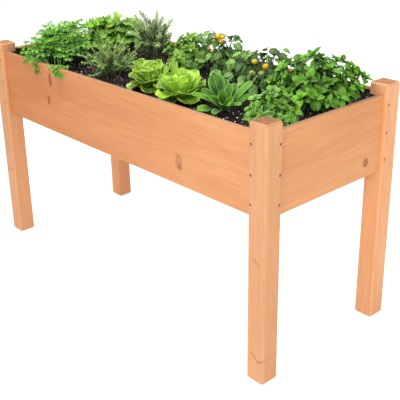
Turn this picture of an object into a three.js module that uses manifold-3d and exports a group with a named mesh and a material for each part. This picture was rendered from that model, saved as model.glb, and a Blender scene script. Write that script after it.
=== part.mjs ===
// Raised planter on four legs: a softwood trough of four grooved posts and four wide
// boards, with a slatted floor on cleats, a cloth liner, soil, herbs and vegetables.
// Millimetres, +Z up. The origin is on the ground, under the middle of the trough.
// +X runs along the trough, and -Y is its front.

import * as THREE from 'three';
import { mergeVertices } from 'three/addons/utils/BufferGeometryUtils.js';
import Module from 'manifold-3d';

const wasm = await Module();
wasm.setup();

// ---- driving dimensions -------------------------------------------------------------

const PLANTER_LENGTH = 1372;
const PLANTER_WIDTH = 559;
const PLANTER_HEIGHT = 762;

const POST_SIZE = 62;
const POST_ARRIS = 5; // flat planed off each long corner of a post
const POST_END_CHAMFER = 5;

const BOARD_THICKNESS = 14;
const BOARD_HEIGHT = 235;
const BOARD_TOP_Z = 732;
const BOARD_REVEAL = 13; // how far a board's face stands back from the posts' faces
const BOARD_ARRIS = 1.5;
const GROOVE_DEPTH = 18;
const TOUCH_GAP = 0.3; // between pieces that rest on each other

const SCREW_LENGTH = 30;
const SCREW_HEAD_RADIUS = 4.2;
const SCREW_SHANK_RADIUS = 2;
const SCREW_HEAD_DEPTH = 3;
const SCREW_TIP_LENGTH = 4;
const SCREW_FACE_RISE = 0.2; // the middle of a head's face above its rim
const SCREW_SUNK = 0.8; // a head's face lies this far below the wood
const SCREW_INSET = 9.5; // from the post's edge beside the board
const SCREW_DEPTHS = [30, 114, 196]; // below the board's top edge
const SCREW_SIDES = 10;
const SCREW_HOLE_PAST_FACE = 2;

const CLEAT_SIZE = 30;
const CLEAT_LIFT = 3; // above the boards' bottom edges
const FLOOR_THICKNESS = 15;
const CLEAT_ARRIS = 2;
const SLAT_ARRIS = 1;
const FLOOR_SLAT_COUNT = 8;
const DRAIN_GAP = 6;

const LINER_THICKNESS = 1.5;
const LINER_CLEARANCE = 0.8;
const LINER_BELOW_RIM = 5;
const SOIL_CLEARANCE = 0.4;
const SOIL_BELOW_RIM = 24;

const PLANT_SIDES = 12;
const PLANT_GAP = 0.5; // between a plant's solid and the soil

// name, centre x, centre y, widest radius and height above the soil
const PLANTS = [
  ['parsley_plant', -455, -142, 106, 150],
  ['coriander_plant', -450, 118, 92, 128],
  ['rosemary_plant', -222, 118, 78, 165],
  ['thyme_plant', -145, -132, 100, 116],
  ['butterhead_lettuce_left', 81, -152, 68, 98],
  ['butterhead_lettuce_right', 245, -165, 74, 102],
  ['basil_plant', 8, 74, 62, 128],
  ['tomato_plant_left', 118, 145, 64, 150],
  ['tomato_plant_right', 305, 108, 90, 128],
  ['spinach_plant', 405, -150, 78, 108],
  ['oregano_plant', 562, -128, 66, 98],
  ['mint_plant', 548, 78, 122, 158],
];

// ---- places worked out from them ----------------------------------------------------

const BOARD_BOTTOM_Z = BOARD_TOP_Z - BOARD_HEIGHT;
const POST_X = (PLANTER_LENGTH - POST_SIZE) / 2;
const POST_Y = (PLANTER_WIDTH - POST_SIZE) / 2;
const POST_INNER_X = POST_X - POST_SIZE / 2;
const POST_INNER_Y = POST_Y - POST_SIZE / 2;
const BOARD_REACH = GROOVE_DEPTH - TOUCH_GAP;
const BOARD_CENTRE_OFFSET = BOARD_REVEAL + BOARD_THICKNESS / 2; // from a post's face
const LONG_BOARD_Y = PLANTER_WIDTH / 2 - BOARD_CENTRE_OFFSET;
const END_BOARD_X = PLANTER_LENGTH / 2 - BOARD_CENTRE_OFFSET;
const INSIDE_Y = LONG_BOARD_Y - BOARD_THICKNESS / 2;
const INSIDE_X = END_BOARD_X - BOARD_THICKNESS / 2;
const CLEAT_TOP_Z = BOARD_BOTTOM_Z + CLEAT_LIFT + CLEAT_SIZE;
const FLOOR_TOP_Z = CLEAT_TOP_Z + TOUCH_GAP + FLOOR_THICKNESS;
const SOIL_TOP_Z = BOARD_TOP_Z - SOIL_BELOW_RIM;

// ---- materials ----------------------------------------------------------------------

function material(color, roughness, metalness = 0) {
  return new THREE.MeshStandardMaterial({ color, roughness, metalness });
}

const postWood = material(0xf0b48a, 0.62);
const boardWood = material(0xe6a678, 0.6);
const floorWood = material(0xd9a57c, 0.7);
const screwSteel = material(0x7a5a44, 0.45, 0.8);
const linerCloth = material(0x161616, 0.95);
const soilMix = material(0x2a1a12, 0.98);
const leafGreen = material(0x4f9a35, 0.55);

// ---- solid helpers ------------------------------------------------------------------

function toSolid(geometry) {
  const bare = geometry.clone();
  bare.deleteAttribute('normal');
  bare.deleteAttribute('uv');
  const merged = mergeVertices(bare, 1e-4);
  return new wasm.Manifold(new wasm.Mesh({
    numProp: 3,
    vertProperties: new Float32Array(merged.attributes.position.array),
    triVerts: new Uint32Array(merged.index.array),
  }));
}

function toGeometry(solid) {
  const mesh = solid.getMesh();
  const geometry = new THREE.BufferGeometry();
  geometry.setAttribute('position', new THREE.BufferAttribute(mesh.vertProperties, 3));
  geometry.setIndex(new THREE.BufferAttribute(mesh.triVerts, 1));
  geometry.computeVertexNormals();
  return geometry;
}

function cut(geometry, cutters) {
  let solid = toSolid(geometry);
  for (const cutter of cutters) {
    solid = solid.subtract(toSolid(cutter));
  }
  return toGeometry(solid);
}

function addMesh(parent, name, geometry, look) {
  const mesh = new THREE.Mesh(geometry, look);
  mesh.name = name;
  parent.add(mesh);
  return mesh;
}

// A rectangle, centred, whose four corners are cut off at 45 degrees.
function chamferedRectangle(width, height, chamfer) {
  const x = width / 2;
  const y = height / 2;
  return new THREE.Shape([
    new THREE.Vector2(-x + chamfer, -y),
    new THREE.Vector2(x - chamfer, -y),
    new THREE.Vector2(x, -y + chamfer),
    new THREE.Vector2(x, y - chamfer),
    new THREE.Vector2(x - chamfer, y),
    new THREE.Vector2(-x + chamfer, y),
    new THREE.Vector2(-x, y - chamfer),
    new THREE.Vector2(-x, -y + chamfer),
  ]);
}

// A straight timber along X, centred, thickness along Y and height along Z.
function timber(length, thickness, height, chamfer) {
  const section = chamferedRectangle(thickness, height, chamfer);
  const geometry = new THREE.ExtrudeGeometry(section, { depth: length, bevelEnabled: false });
  geometry.translate(0, 0, -length / 2);
  geometry.rotateX(Math.PI / 2);
  geometry.rotateZ(Math.PI / 2);
  return geometry;
}

// ---- screws -------------------------------------------------------------------------

// A countersunk wood screw whose axis is +Y, with the wood's face at y = 0.
function screwGeometry(grow = 0, headTop = -SCREW_SUNK) {
  const headBottom = -SCREW_SUNK - SCREW_HEAD_DEPTH - grow;
  const profile = [
    new THREE.Vector2(0, -SCREW_LENGTH - grow),
    new THREE.Vector2(SCREW_SHANK_RADIUS + grow, -SCREW_LENGTH + SCREW_TIP_LENGTH),
    new THREE.Vector2(SCREW_SHANK_RADIUS + grow, headBottom),
    new THREE.Vector2(SCREW_HEAD_RADIUS + grow, -SCREW_SUNK),
    new THREE.Vector2(SCREW_HEAD_RADIUS + grow, headTop + SCREW_FACE_RISE),
    new THREE.Vector2(0, headTop + SCREW_FACE_RISE),
  ];
  return new THREE.LatheGeometry(profile, SCREW_SIDES);
}

// The hole that a screw sits in, open past the wood's face.
function screwHole() {
  return screwGeometry(TOUCH_GAP, SCREW_HOLE_PAST_FACE);
}

// Every screw's place: on each post, a column in its front or back face and one in its
// end face. `turn` about Z points the screw's +Y out of the face.
function screwPlaces() {
  const places = [];
  for (const [xSide, endName] of [[-1, 'left'], [1, 'right']]) {
    for (const [ySide, faceName] of [[-1, 'front'], [1, 'back']]) {
      SCREW_DEPTHS.forEach((depth, row) => {
        const z = BOARD_TOP_Z - depth;
        places.push({
          name: `${faceName}_${endName}_post_long_board_screw_${row + 1}`,
          x: xSide * (POST_INNER_X + SCREW_INSET),
          y: ySide * (PLANTER_WIDTH / 2),
          z,
          turn: ySide > 0 ? 0 : Math.PI,
        });
        places.push({
          name: `${faceName}_${endName}_post_end_board_screw_${row + 1}`,
          x: xSide * (PLANTER_LENGTH / 2),
          y: ySide * (POST_INNER_Y + SCREW_INSET),
          z,
          turn: -xSide * Math.PI / 2,
        });
      });
    }
  }
  return places;
}

// Screw holes as cutters for a piece that stands at `centre`, turned by `pieceTurn`.
function screwHolesFor(centre, pieceTurn = 0) {
  return screwPlaces()
    .filter((place) => Math.abs(place.x - centre.x) < centre.reachX
      && Math.abs(place.y - centre.y) < centre.reachY)
    .map((place) => {
      const hole = screwHole();
      hole.rotateZ(place.turn);
      hole.translate(place.x - centre.x, place.y - centre.y, place.z - centre.z);
      hole.rotateZ(-pieceTurn);
      return hole;
    });
}

function addScrews(parent) {
  for (const place of screwPlaces()) {
    const screw = addMesh(parent, place.name, screwGeometry(), screwSteel);
    screw.position.set(place.x, place.y, place.z);
    screw.rotation.z = place.turn;
  }
}

// ---- posts and boards ---------------------------------------------------------------

// A square post with planed corners and chamfered ends, grooved for two board ends.
function postGeometry(xSide, ySide) {
  const section = chamferedRectangle(POST_SIZE, POST_SIZE, POST_ARRIS);
  const body = new THREE.ExtrudeGeometry(section, {
    depth: PLANTER_HEIGHT - 2 * POST_END_CHAMFER,
    bevelEnabled: true,
    bevelThickness: POST_END_CHAMFER,
    bevelSize: POST_END_CHAMFER,
    bevelOffset: -POST_END_CHAMFER,
    bevelSegments: 1,
  });
  body.translate(0, 0, POST_END_CHAMFER);

  const overcut = 5;
  const grooveWidth = BOARD_THICKNESS + 2 * TOUCH_GAP;
  const grooveHeight = BOARD_HEIGHT + 2 * TOUCH_GAP;
  const grooveZ = BOARD_TOP_Z - BOARD_HEIGHT / 2;
  const grooveRun = GROOVE_DEPTH + overcut;
  const alongX = new THREE.BoxGeometry(grooveRun, grooveWidth, grooveHeight);
  const alongY = new THREE.BoxGeometry(grooveWidth, grooveRun, grooveHeight);
  const inward = POST_SIZE / 2 - GROOVE_DEPTH + grooveRun / 2;
  const outward = POST_SIZE / 2 - BOARD_CENTRE_OFFSET;
  alongX.translate(-xSide * inward, ySide * outward, grooveZ);
  alongY.translate(xSide * outward, -ySide * inward, grooveZ);

  const centre = {
    x: xSide * POST_X, y: ySide * POST_Y, z: 0, reachX: POST_SIZE, reachY: POST_SIZE,
  };
  return cut(body, [alongX, alongY, ...screwHolesFor(centre)]);
}

function addPosts(parent) {
  for (const [xSide, endName] of [[-1, 'left'], [1, 'right']]) {
    for (const [ySide, faceName] of [[-1, 'front'], [1, 'back']]) {
      const geometry = postGeometry(xSide, ySide);
      const post = addMesh(parent, `${faceName}_${endName}_post`, geometry, postWood);
      post.position.set(xSide * POST_X, ySide * POST_Y, 0);
    }
  }
}

function addBoard(parent, name, length, x, y, turn) {
  const z = BOARD_TOP_Z - BOARD_HEIGHT / 2;
  const blank = timber(length, BOARD_THICKNESS, BOARD_HEIGHT, BOARD_ARRIS);
  const acrossX = Math.abs(Math.sin(turn)) > 0.5;
  const reachAlong = length / 2;
  const slack = 1;
  const reachAcross = BOARD_CENTRE_OFFSET + slack;
  const centre = {
    x,
    y,
    z,
    reachX: acrossX ? reachAcross : reachAlong,
    reachY: acrossX ? reachAlong : reachAcross,
  };
  const board = addMesh(parent, name, cut(blank, screwHolesFor(centre, turn)), boardWood);
  board.position.set(x, y, z);
  board.rotation.z = turn;
}

function addBoards(parent) {
  const longLength = 2 * (POST_INNER_X + BOARD_REACH);
  const endLength = 2 * (POST_INNER_Y + BOARD_REACH);
  addBoard(parent, 'front_board', longLength, 0, -LONG_BOARD_Y, 0);
  addBoard(parent, 'back_board', longLength, 0, LONG_BOARD_Y, Math.PI);
  addBoard(parent, 'right_end_board', endLength, END_BOARD_X, 0, Math.PI / 2);
  addBoard(parent, 'left_end_board', endLength, -END_BOARD_X, 0, -Math.PI / 2);
}

// ---- slatted floor on cleats --------------------------------------------------------

function addCleats(parent) {
  const endSlack = 1.5;
  const z = CLEAT_TOP_Z - CLEAT_SIZE / 2;
  const longLength = 2 * (POST_INNER_X - endSlack);
  const endLength = 2 * (POST_INNER_Y - endSlack);
  const longY = INSIDE_Y - TOUCH_GAP - CLEAT_SIZE / 2;
  const endX = INSIDE_X - TOUCH_GAP - CLEAT_SIZE / 2;
  for (const [side, name] of [[-1, 'front_floor_cleat'], [1, 'back_floor_cleat']]) {
    const blank = timber(longLength, CLEAT_SIZE, CLEAT_SIZE, CLEAT_ARRIS);
    addMesh(parent, name, blank, floorWood).position.set(0, side * longY, z);
  }
  for (const [side, name] of [[-1, 'left_floor_cleat'], [1, 'right_floor_cleat']]) {
    const blank = timber(endLength, CLEAT_SIZE, CLEAT_SIZE, CLEAT_ARRIS);
    const cleat = addMesh(parent, name, blank, floorWood);
    cleat.position.set(side * endX, 0, z);
    cleat.rotation.z = Math.PI / 2;
  }
}

function addFloor(parent) {
  const wallSlack = 1;
  const z = FLOOR_TOP_Z - FLOOR_THICKNESS / 2;
  const run = 2 * (POST_INNER_X - DRAIN_GAP);
  const slatWidth = (run - (FLOOR_SLAT_COUNT - 1) * DRAIN_GAP) / FLOOR_SLAT_COUNT;
  const slatLength = 2 * (INSIDE_Y - wallSlack);
  for (let i = 0; i < FLOOR_SLAT_COUNT; i += 1) {
    const blank = timber(slatLength, slatWidth, FLOOR_THICKNESS, SLAT_ARRIS);
    const slat = addMesh(parent, `floor_slat_${i + 1}`, blank, floorWood);
    slat.position.set(-run / 2 + slatWidth / 2 + i * (slatWidth + DRAIN_GAP), 0, z);
    slat.rotation.z = Math.PI / 2;
  }
  // a narrow slat closes the floor between the two posts at each end
  const endWidth = INSIDE_X - POST_INNER_X - wallSlack;
  const endLength = 2 * (POST_INNER_Y - wallSlack);
  for (const [side, name] of [[-1, 'left_end_slat'], [1, 'right_end_slat']]) {
    const blank = timber(endLength, endWidth, FLOOR_THICKNESS, SLAT_ARRIS);
    const slat = addMesh(parent, name, blank, floorWood);
    slat.position.set(side * (INSIDE_X - wallSlack - endWidth / 2), 0, z);
    slat.rotation.z = Math.PI / 2;
  }
}

// ---- liner and soil -----------------------------------------------------------------

// The trough's inner outline, a rectangle notched by the posts, moved in by `inset`.
function troughOutline(inset) {
  const x = INSIDE_X - inset;
  const y = INSIDE_Y - inset;
  const notchX = POST_INNER_X - inset;
  const notchY = POST_INNER_Y - inset;
  return new THREE.Shape([
    new THREE.Vector2(-notchX, -y),
    new THREE.Vector2(notchX, -y),
    new THREE.Vector2(notchX, -notchY),
    new THREE.Vector2(x, -notchY),
    new THREE.Vector2(x, notchY),
    new THREE.Vector2(notchX, notchY),
    new THREE.Vector2(notchX, y),
    new THREE.Vector2(-notchX, y),
    new THREE.Vector2(-notchX, notchY),
    new THREE.Vector2(-x, notchY),
    new THREE.Vector2(-x, -notchY),
    new THREE.Vector2(-notchX, -notchY),
  ]);
}

function troughPrism(inset, bottomZ, topZ) {
  const prism = new THREE.ExtrudeGeometry(troughOutline(inset), {
    depth: topZ - bottomZ,
    bevelEnabled: false,
  });
  prism.translate(0, 0, bottomZ);
  return prism;
}

function addLinerAndSoil(parent) {
  const linerBottom = FLOOR_TOP_Z + TOUCH_GAP;
  const linerTop = BOARD_TOP_Z - LINER_BELOW_RIM;
  const overcut = 10;
  const linerInset = LINER_CLEARANCE + LINER_THICKNESS;
  const outside = troughPrism(LINER_CLEARANCE, linerBottom, linerTop);
  const inside = troughPrism(linerInset, linerBottom + LINER_THICKNESS, linerTop + overcut);
  addMesh(parent, 'cloth_liner', cut(outside, [inside]), linerCloth);

  const soilBottom = linerBottom + LINER_THICKNESS + SOIL_CLEARANCE;
  const soil = troughPrism(linerInset + SOIL_CLEARANCE, soilBottom, SOIL_TOP_Z);
  addMesh(parent, 'potting_soil', soil, soilMix);
}

// ---- plants -------------------------------------------------------------------------

// A rounded bush: a short narrow foot on the soil, widest a third of the way up.
function bushGeometry(radius, height) {
  const profile = [
    new THREE.Vector2(0, 0),
    new THREE.Vector2(0.5 * radius, 0),
    new THREE.Vector2(0.78 * radius, 0.2 * height),
    new THREE.Vector2(radius, 0.42 * height),
    new THREE.Vector2(0.92 * radius, 0.7 * height),
    new THREE.Vector2(0.5 * radius, 0.94 * height),
    new THREE.Vector2(0, height),
  ];
  const bush = new THREE.LatheGeometry(profile, PLANT_SIDES);
  bush.rotateX(Math.PI / 2);
  return bush;
}

function addPlants(parent) {
  for (const [name, x, y, radius, height] of PLANTS) {
    const bush = addMesh(parent, name, bushGeometry(radius, height), leafGreen);
    bush.position.set(x, y, SOIL_TOP_Z + PLANT_GAP);
  }
}

// ---- assembly -----------------------------------------------------------------------

const group = new THREE.Group();
addPosts(group);
addBoards(group);
addCleats(group);
addFloor(group);
addLinerAndSoil(group);
addScrews(group);
addPlants(group);

export default group;
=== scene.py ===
"""A raised planter on legs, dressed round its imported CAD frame.

Timber, screws, liner and soil come first, then the twelve plants. Metres, +Z up; the trough runs
along X and its front is -Y.
"""
import math

import bpy
import numpy as np
from mathutils import Matrix, Vector, noise


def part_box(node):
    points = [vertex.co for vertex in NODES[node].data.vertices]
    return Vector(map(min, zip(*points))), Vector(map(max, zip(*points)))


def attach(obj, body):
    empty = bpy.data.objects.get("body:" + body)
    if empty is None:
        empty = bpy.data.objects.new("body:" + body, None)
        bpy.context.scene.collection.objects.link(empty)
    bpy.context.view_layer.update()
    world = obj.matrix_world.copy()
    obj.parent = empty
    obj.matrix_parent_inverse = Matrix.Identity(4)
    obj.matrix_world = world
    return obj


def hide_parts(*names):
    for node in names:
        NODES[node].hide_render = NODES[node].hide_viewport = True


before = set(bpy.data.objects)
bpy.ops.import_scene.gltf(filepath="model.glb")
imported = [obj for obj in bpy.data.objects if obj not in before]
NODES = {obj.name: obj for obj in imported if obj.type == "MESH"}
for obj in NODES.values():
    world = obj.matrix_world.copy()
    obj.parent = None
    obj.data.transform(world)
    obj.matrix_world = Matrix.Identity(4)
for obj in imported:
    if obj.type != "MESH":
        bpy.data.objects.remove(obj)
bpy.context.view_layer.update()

BODY = "root"
MM = 0.001
TAU = 2 * math.pi
UP = np.array((0.0, 0.0, 1.0))

# ---- camera, floor and light --------------------------------------------------------

CAMERA_PLACE = Vector((1.8523, -1.5592, 1.3529))
CAMERA_YAW = 0.8753
CAMERA_PITCH = 0.3727
CAMERA_ROLL = -0.0312
FOCAL_LENGTH_IN_FRAMES = 1.8873
CAMERA_SHIFT = (0.075, -0.1)
SENSOR = 36.0
WHITE = (1, 1, 1)
STUDIO_GLOW = 0.40
FLOOR_GLOW = 0.60
FLOOR_REACH = 40.0

# name, place, target, size, power, tint
LAMPS = [
    ("key", (2.0, -3.0, 3.0), (0.15, 0, 0.55), 2.4, 82, (1.0, 0.99, 0.975)),
    ("fill", (3.4, -0.2, 1.8), (0, 0, 0.55), 2.2, 27, (0.97, 0.985, 1.0)),
    ("overhead", (-0.6, -0.5, 3.3), (-0.1, 0, 0.7), 1.6, 64, WHITE),
    ("back", (-2.2, 3.0, 2.2), (0, 0, 0.5), 2.2, 26, WHITE),
]


def make_camera():
    """The photograph's viewpoint: from the right end of the front, looking down a little."""
    level = Vector((-math.sin(CAMERA_YAW), math.cos(CAMERA_YAW), 0))
    right = Vector((math.cos(CAMERA_YAW), math.sin(CAMERA_YAW), 0))
    upright = Vector((0, 0, 1))
    ahead = level * math.cos(CAMERA_PITCH) - upright * math.sin(CAMERA_PITCH)
    up = upright * math.cos(CAMERA_PITCH) + level * math.sin(CAMERA_PITCH)
    rolled_right = right * math.cos(CAMERA_ROLL) + up * math.sin(CAMERA_ROLL)
    rolled_up = up * math.cos(CAMERA_ROLL) - right * math.sin(CAMERA_ROLL)
    lens = bpy.data.cameras.new("camera")
    lens.sensor_width = SENSOR
    lens.lens = SENSOR * FOCAL_LENGTH_IN_FRAMES
    lens.shift_x, lens.shift_y = CAMERA_SHIFT
    lens.clip_end = 50
    camera = bpy.data.objects.new("camera", lens)
    axes = Matrix((rolled_right, rolled_up, -ahead)).transposed().to_4x4()
    camera.matrix_world = Matrix.Translation(CAMERA_PLACE) @ axes
    bpy.context.collection.objects.link(camera)
    bpy.context.scene.camera = camera


def area_light(name, place, target, size, power, tint):
    """A round soft lamp that looks at its target."""
    lamp = bpy.data.lights.new(name, "AREA")
    lamp.shape = "DISK"
    lamp.size = size
    lamp.energy = power
    lamp.color = tint
    light = bpy.data.objects.new(name, lamp)
    light.location = place
    light.rotation_euler = (Vector(target) - Vector(place)).to_track_quat("-Z", "Y").to_euler()
    bpy.context.collection.objects.link(light)


def make_light():
    """A white studio: even light from all round, and large soft lamps."""
    world = bpy.data.worlds.new("studio")
    bpy.context.scene.world = world
    world.use_nodes = True
    tree = world.node_tree
    lighting = tree.nodes["Background"]
    seen = tree.nodes.new("ShaderNodeBackground")
    for background, strength in ((lighting, STUDIO_GLOW), (seen, 1.0)):
        background.inputs["Color"].default_value = (*WHITE, 1)
        background.inputs["Strength"].default_value = strength
    ray = tree.nodes.new("ShaderNodeLightPath")
    mix = tree.nodes.new("ShaderNodeMixShader")
    tree.links.new(ray.outputs["Is Camera Ray"], mix.inputs["Fac"])
    tree.links.new(lighting.outputs["Background"], mix.inputs[1])
    tree.links.new(seen.outputs["Background"], mix.inputs[2])
    tree.links.new(mix.outputs["Shader"], tree.nodes["World Output"].inputs["Surface"])
    for lamp in LAMPS:
        area_light(*lamp)
    bpy.context.scene.view_settings.view_transform = "Standard"


def make_floor():
    """A pale floor that the camera sees nearly as white as the background."""
    shade = Shade("studio_floor", 0.9)
    grain = shade.noise(shade.place(), 6, 3)
    shade.colour(shade.mix(grain, (0.93, 0.93, 0.93), (0.97, 0.97, 0.97)))
    seen = shade.add("ShaderNodeLightPath", {}, "Is Camera Ray")
    shade.feed({"Emission Strength": seen * FLOOR_GLOW, "Emission Color": WHITE})
    sides = 24
    turns = [TAU * i / sides for i in range(sides)]
    ring = [(FLOOR_REACH * math.cos(a), FLOOR_REACH * math.sin(a), -0.5 * MM) for a in turns]
    floor = new_mesh("studio_floor", ring, [tuple(range(sides))], shade.material)


# ---- node trees ---------------------------------------------------------------------

class Signal:
    """A value in a node tree that adds, subtracts, multiplies and divides like a number."""

    def __init__(self, shade, socket):
        self.shade = shade
        self.socket = socket

    def __add__(self, other):
        return self.shade.math("ADD", self, other)

    def __sub__(self, other):
        return self.shade.math("SUBTRACT", self, other)

    def __mul__(self, other):
        return self.shade.math("MULTIPLY", self, other)

    def __truediv__(self, other):
        return self.shade.math("DIVIDE", self, other)


class Shade:
    """One material and short ways to grow its node tree."""

    def __init__(self, name, roughness, specular=0.4):
        self.material = bpy.data.materials.new(name)
        self.material.use_nodes = True
        self.tree = self.material.node_tree
        self.shader = self.tree.nodes["Principled BSDF"]
        self.feed({"Roughness": roughness, "Specular IOR Level": specular})

    def put(self, socket, value):
        """Gives a socket a signal, a colour or a number."""
        if isinstance(value, Signal):
            self.tree.links.new(value.socket, socket)
        elif socket.type == "RGBA":
            socket.default_value = (*value, 1)
        else:
            socket.default_value = value

    def feed(self, values):
        """Sets inputs of the material's shader by name."""
        for name, value in values.items():
            self.put(self.shader.inputs[name], value)

    def add(self, kind, inputs, output=0, **settings):
        """Adds a node with its settings and inputs, and gives one of its outputs."""
        node = self.tree.nodes.new(kind)
        for key, value in settings.items():
            setattr(node, key, value)
        for key, value in inputs.items():
            self.put(node.inputs[key], value)
        return Signal(self, node.outputs[output])

    def place(self):
        """The place on the object, in metres."""
        return self.add("ShaderNodeTexCoord", {}, "Object")

    def split(self, vector):
        """A vector's three parts."""
        node = self.add("ShaderNodeSeparateXYZ", {0: vector}).socket.node
        return [Signal(self, output) for output in node.outputs]

    def leaf_marks(self):
        """What Foliage notes at each point: place across, place along, and the leaf's chance."""
        return self.split(self.add("ShaderNodeAttribute", {}, "Vector", attribute_name="leaf"))

    def join(self, x, y, z):
        """A vector made of three parts."""
        return self.add("ShaderNodeCombineXYZ", {0: x, 1: y, 2: z})

    def math(self, operation, a, b=0.0, clamp=False):
        """One operation of the Math node; clamp keeps its result within 0 to 1."""
        return self.add("ShaderNodeMath", {0: a, 1: b}, operation=operation, use_clamp=clamp)

    def noise(self, vector, scale, detail=2.0, roughness=0.5):
        """Soft noise round 0.5."""
        inputs = {"Vector": vector, "Scale": scale, "Detail": detail, "Roughness": roughness}
        return self.add("ShaderNodeTexNoise", inputs, "Fac")

    def cells(self, vector, scale):
        """The distance to the nearest of many scattered points."""
        return self.add("ShaderNodeTexVoronoi", {"Vector": vector, "Scale": scale}, "Distance")

    def span(self, value, low, high, to_low=0.0, to_high=1.0):
        """Maps low..high smoothly on to to_low..to_high."""
        inputs = dict(enumerate((value, low, high, to_low, to_high)))
        return self.add("ShaderNodeMapRange", inputs, "Result", interpolation_type="SMOOTHSTEP")

    def ramp(self, factor, stops):
        """A colour read from (position, colour) stops."""
        result = self.add("ShaderNodeValToRGB", {0: factor})
        band = result.socket.node.color_ramp
        while len(band.elements) < len(stops):
            band.elements.new(0.5)
        for element, (position, colour) in zip(band.elements, stops):
            element.position = position
            element.color = (*colour, 1)
        return result

    def mix(self, factor, a, b, blend="MIX"):
        """Colour a, blended with colour b by a factor."""
        inputs = {0: factor, 6: a, 7: b}
        return self.add("ShaderNodeMix", inputs, 2, data_type="RGBA", blend_type=blend)

    def colour(self, value):
        """Sets the material's colour."""
        self.feed({"Base Color": value})

    def roughness(self, value):
        """Sets how dull the material is."""
        self.feed({"Roughness": value})

    def bump(self, height, strength, distance):
        """Raises the skin by a height of at most distance."""
        inputs = {"Strength": strength, "Distance": distance, "Height": height}
        self.feed({"Normal": self.add("ShaderNodeBump", inputs)})


def dimmed(colour, share):
    """A colour with every channel multiplied by a share."""
    return tuple(share * channel for channel in colour)


# ---- mesh helpers -------------------------------------------------------------------

def new_mesh(name, points, faces, material, smooth=False):
    """A mesh object in the row frame."""
    mesh = bpy.data.meshes.new(name)
    mesh.from_pydata([tuple(p) for p in points], [], [tuple(f) for f in faces])
    mesh.validate()
    mesh.materials.append(material)
    if smooth:
        mesh.shade_smooth()
    piece = bpy.data.objects.new(name, mesh)
    bpy.context.collection.objects.link(piece)
    return piece


def settle(piece, slot, *replaced):
    """Rides a finished piece on the planter and hides the nodes it stands for; slot is not used."""
    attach(piece, BODY)
    if replaced:
        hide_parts(*replaced)


def thicken(piece, thickness):
    """Gives a blade its own thickness."""
    solid = piece.modifiers.new("thickness", "SOLIDIFY")
    solid.thickness = thickness
    solid.offset = 0


# ---- timber -------------------------------------------------------------------------

# per direction of the grain: the axes along it, to its side and across that
GRAIN_OF = {"X": (0, 1, 2), "Y": (1, 0, 2), "Z": (2, 0, 1)}
TOP_EDGE = (0.45, 0.24, 0.13)
REDDER = (0.84, 0.70, 0.59)
END_GRAIN = (0.54, 0.255, 0.100)
END_RINGS = (0.30, 0.12, 0.05)
KNOT_BROWN = (0.34, 0.095, 0.025)
SCAR_BROWN = (0.50, 0.20, 0.065)
BOARD_RING_GAP, POST_RING_GAP, FLOOR_RING_GAP = 7.5 * MM, 4.5 * MM, 5 * MM
EASED_EDGE = 0.9 * MM
POST_LIGHT, POST_DARK = (0.90, 0.465, 0.232), (0.76, 0.325, 0.135)
BOARD_LIGHT, BOARD_DARK = (0.85, 0.405, 0.178), (0.68, 0.265, 0.095)
FLOOR_LIGHT, FLOOR_DARK = (0.80, 0.47, 0.24), (0.62, 0.31, 0.13)


def bend_round_knots(shade, radius, along, face, ripple, ring_gap, knots):
    """(the growth rings' radius, swollen round each knot, and how dark the knots are)"""
    mark = 0.0
    for centre, cross, half_length, half_height, darkness in knots:
        run = (along - centre) / half_length
        rise = (face - cross) / half_height
        distance = shade.math("SQRT", run * run + rise * rise) + ripple * 0.7
        radius = radius + shade.span(distance, 3.2, 0.4, 0.0, 2.2 * ring_gap)
        rim = shade.span(distance, 1.35, 0.98) * shade.span(distance, 0.42, 0.88)
        core = shade.span(distance, 0.7, 0.15) * 0.7
        halo = shade.span(distance, 2.4, 0.9) * 0.22
        spot = shade.math("ADD", shade.math("MAXIMUM", rim, core), halo, clamp=True)
        mark = shade.math("MAXIMUM", spot * darkness, mark)
    return radius, mark


def scar_marks(shade, along, face, scars):
    """How near a place is to the middle of a scar; each scar is a bent line across the grain."""
    mark = 0.0
    for centre, cross, slope, half_length, half_height in scars:
        run = face - cross
        line = run * slope + centre + run * run * (slope * 12)
        off = shade.math("ABSOLUTE", along - line)
        reach = shade.math("ABSOLUTE", run)
        near = shade.span(off, half_height, 0.3 * half_height)
        mark = shade.math("MAXIMUM", mark, near * shade.span(reach, half_length, 0.6 * half_length))
    return mark


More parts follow.
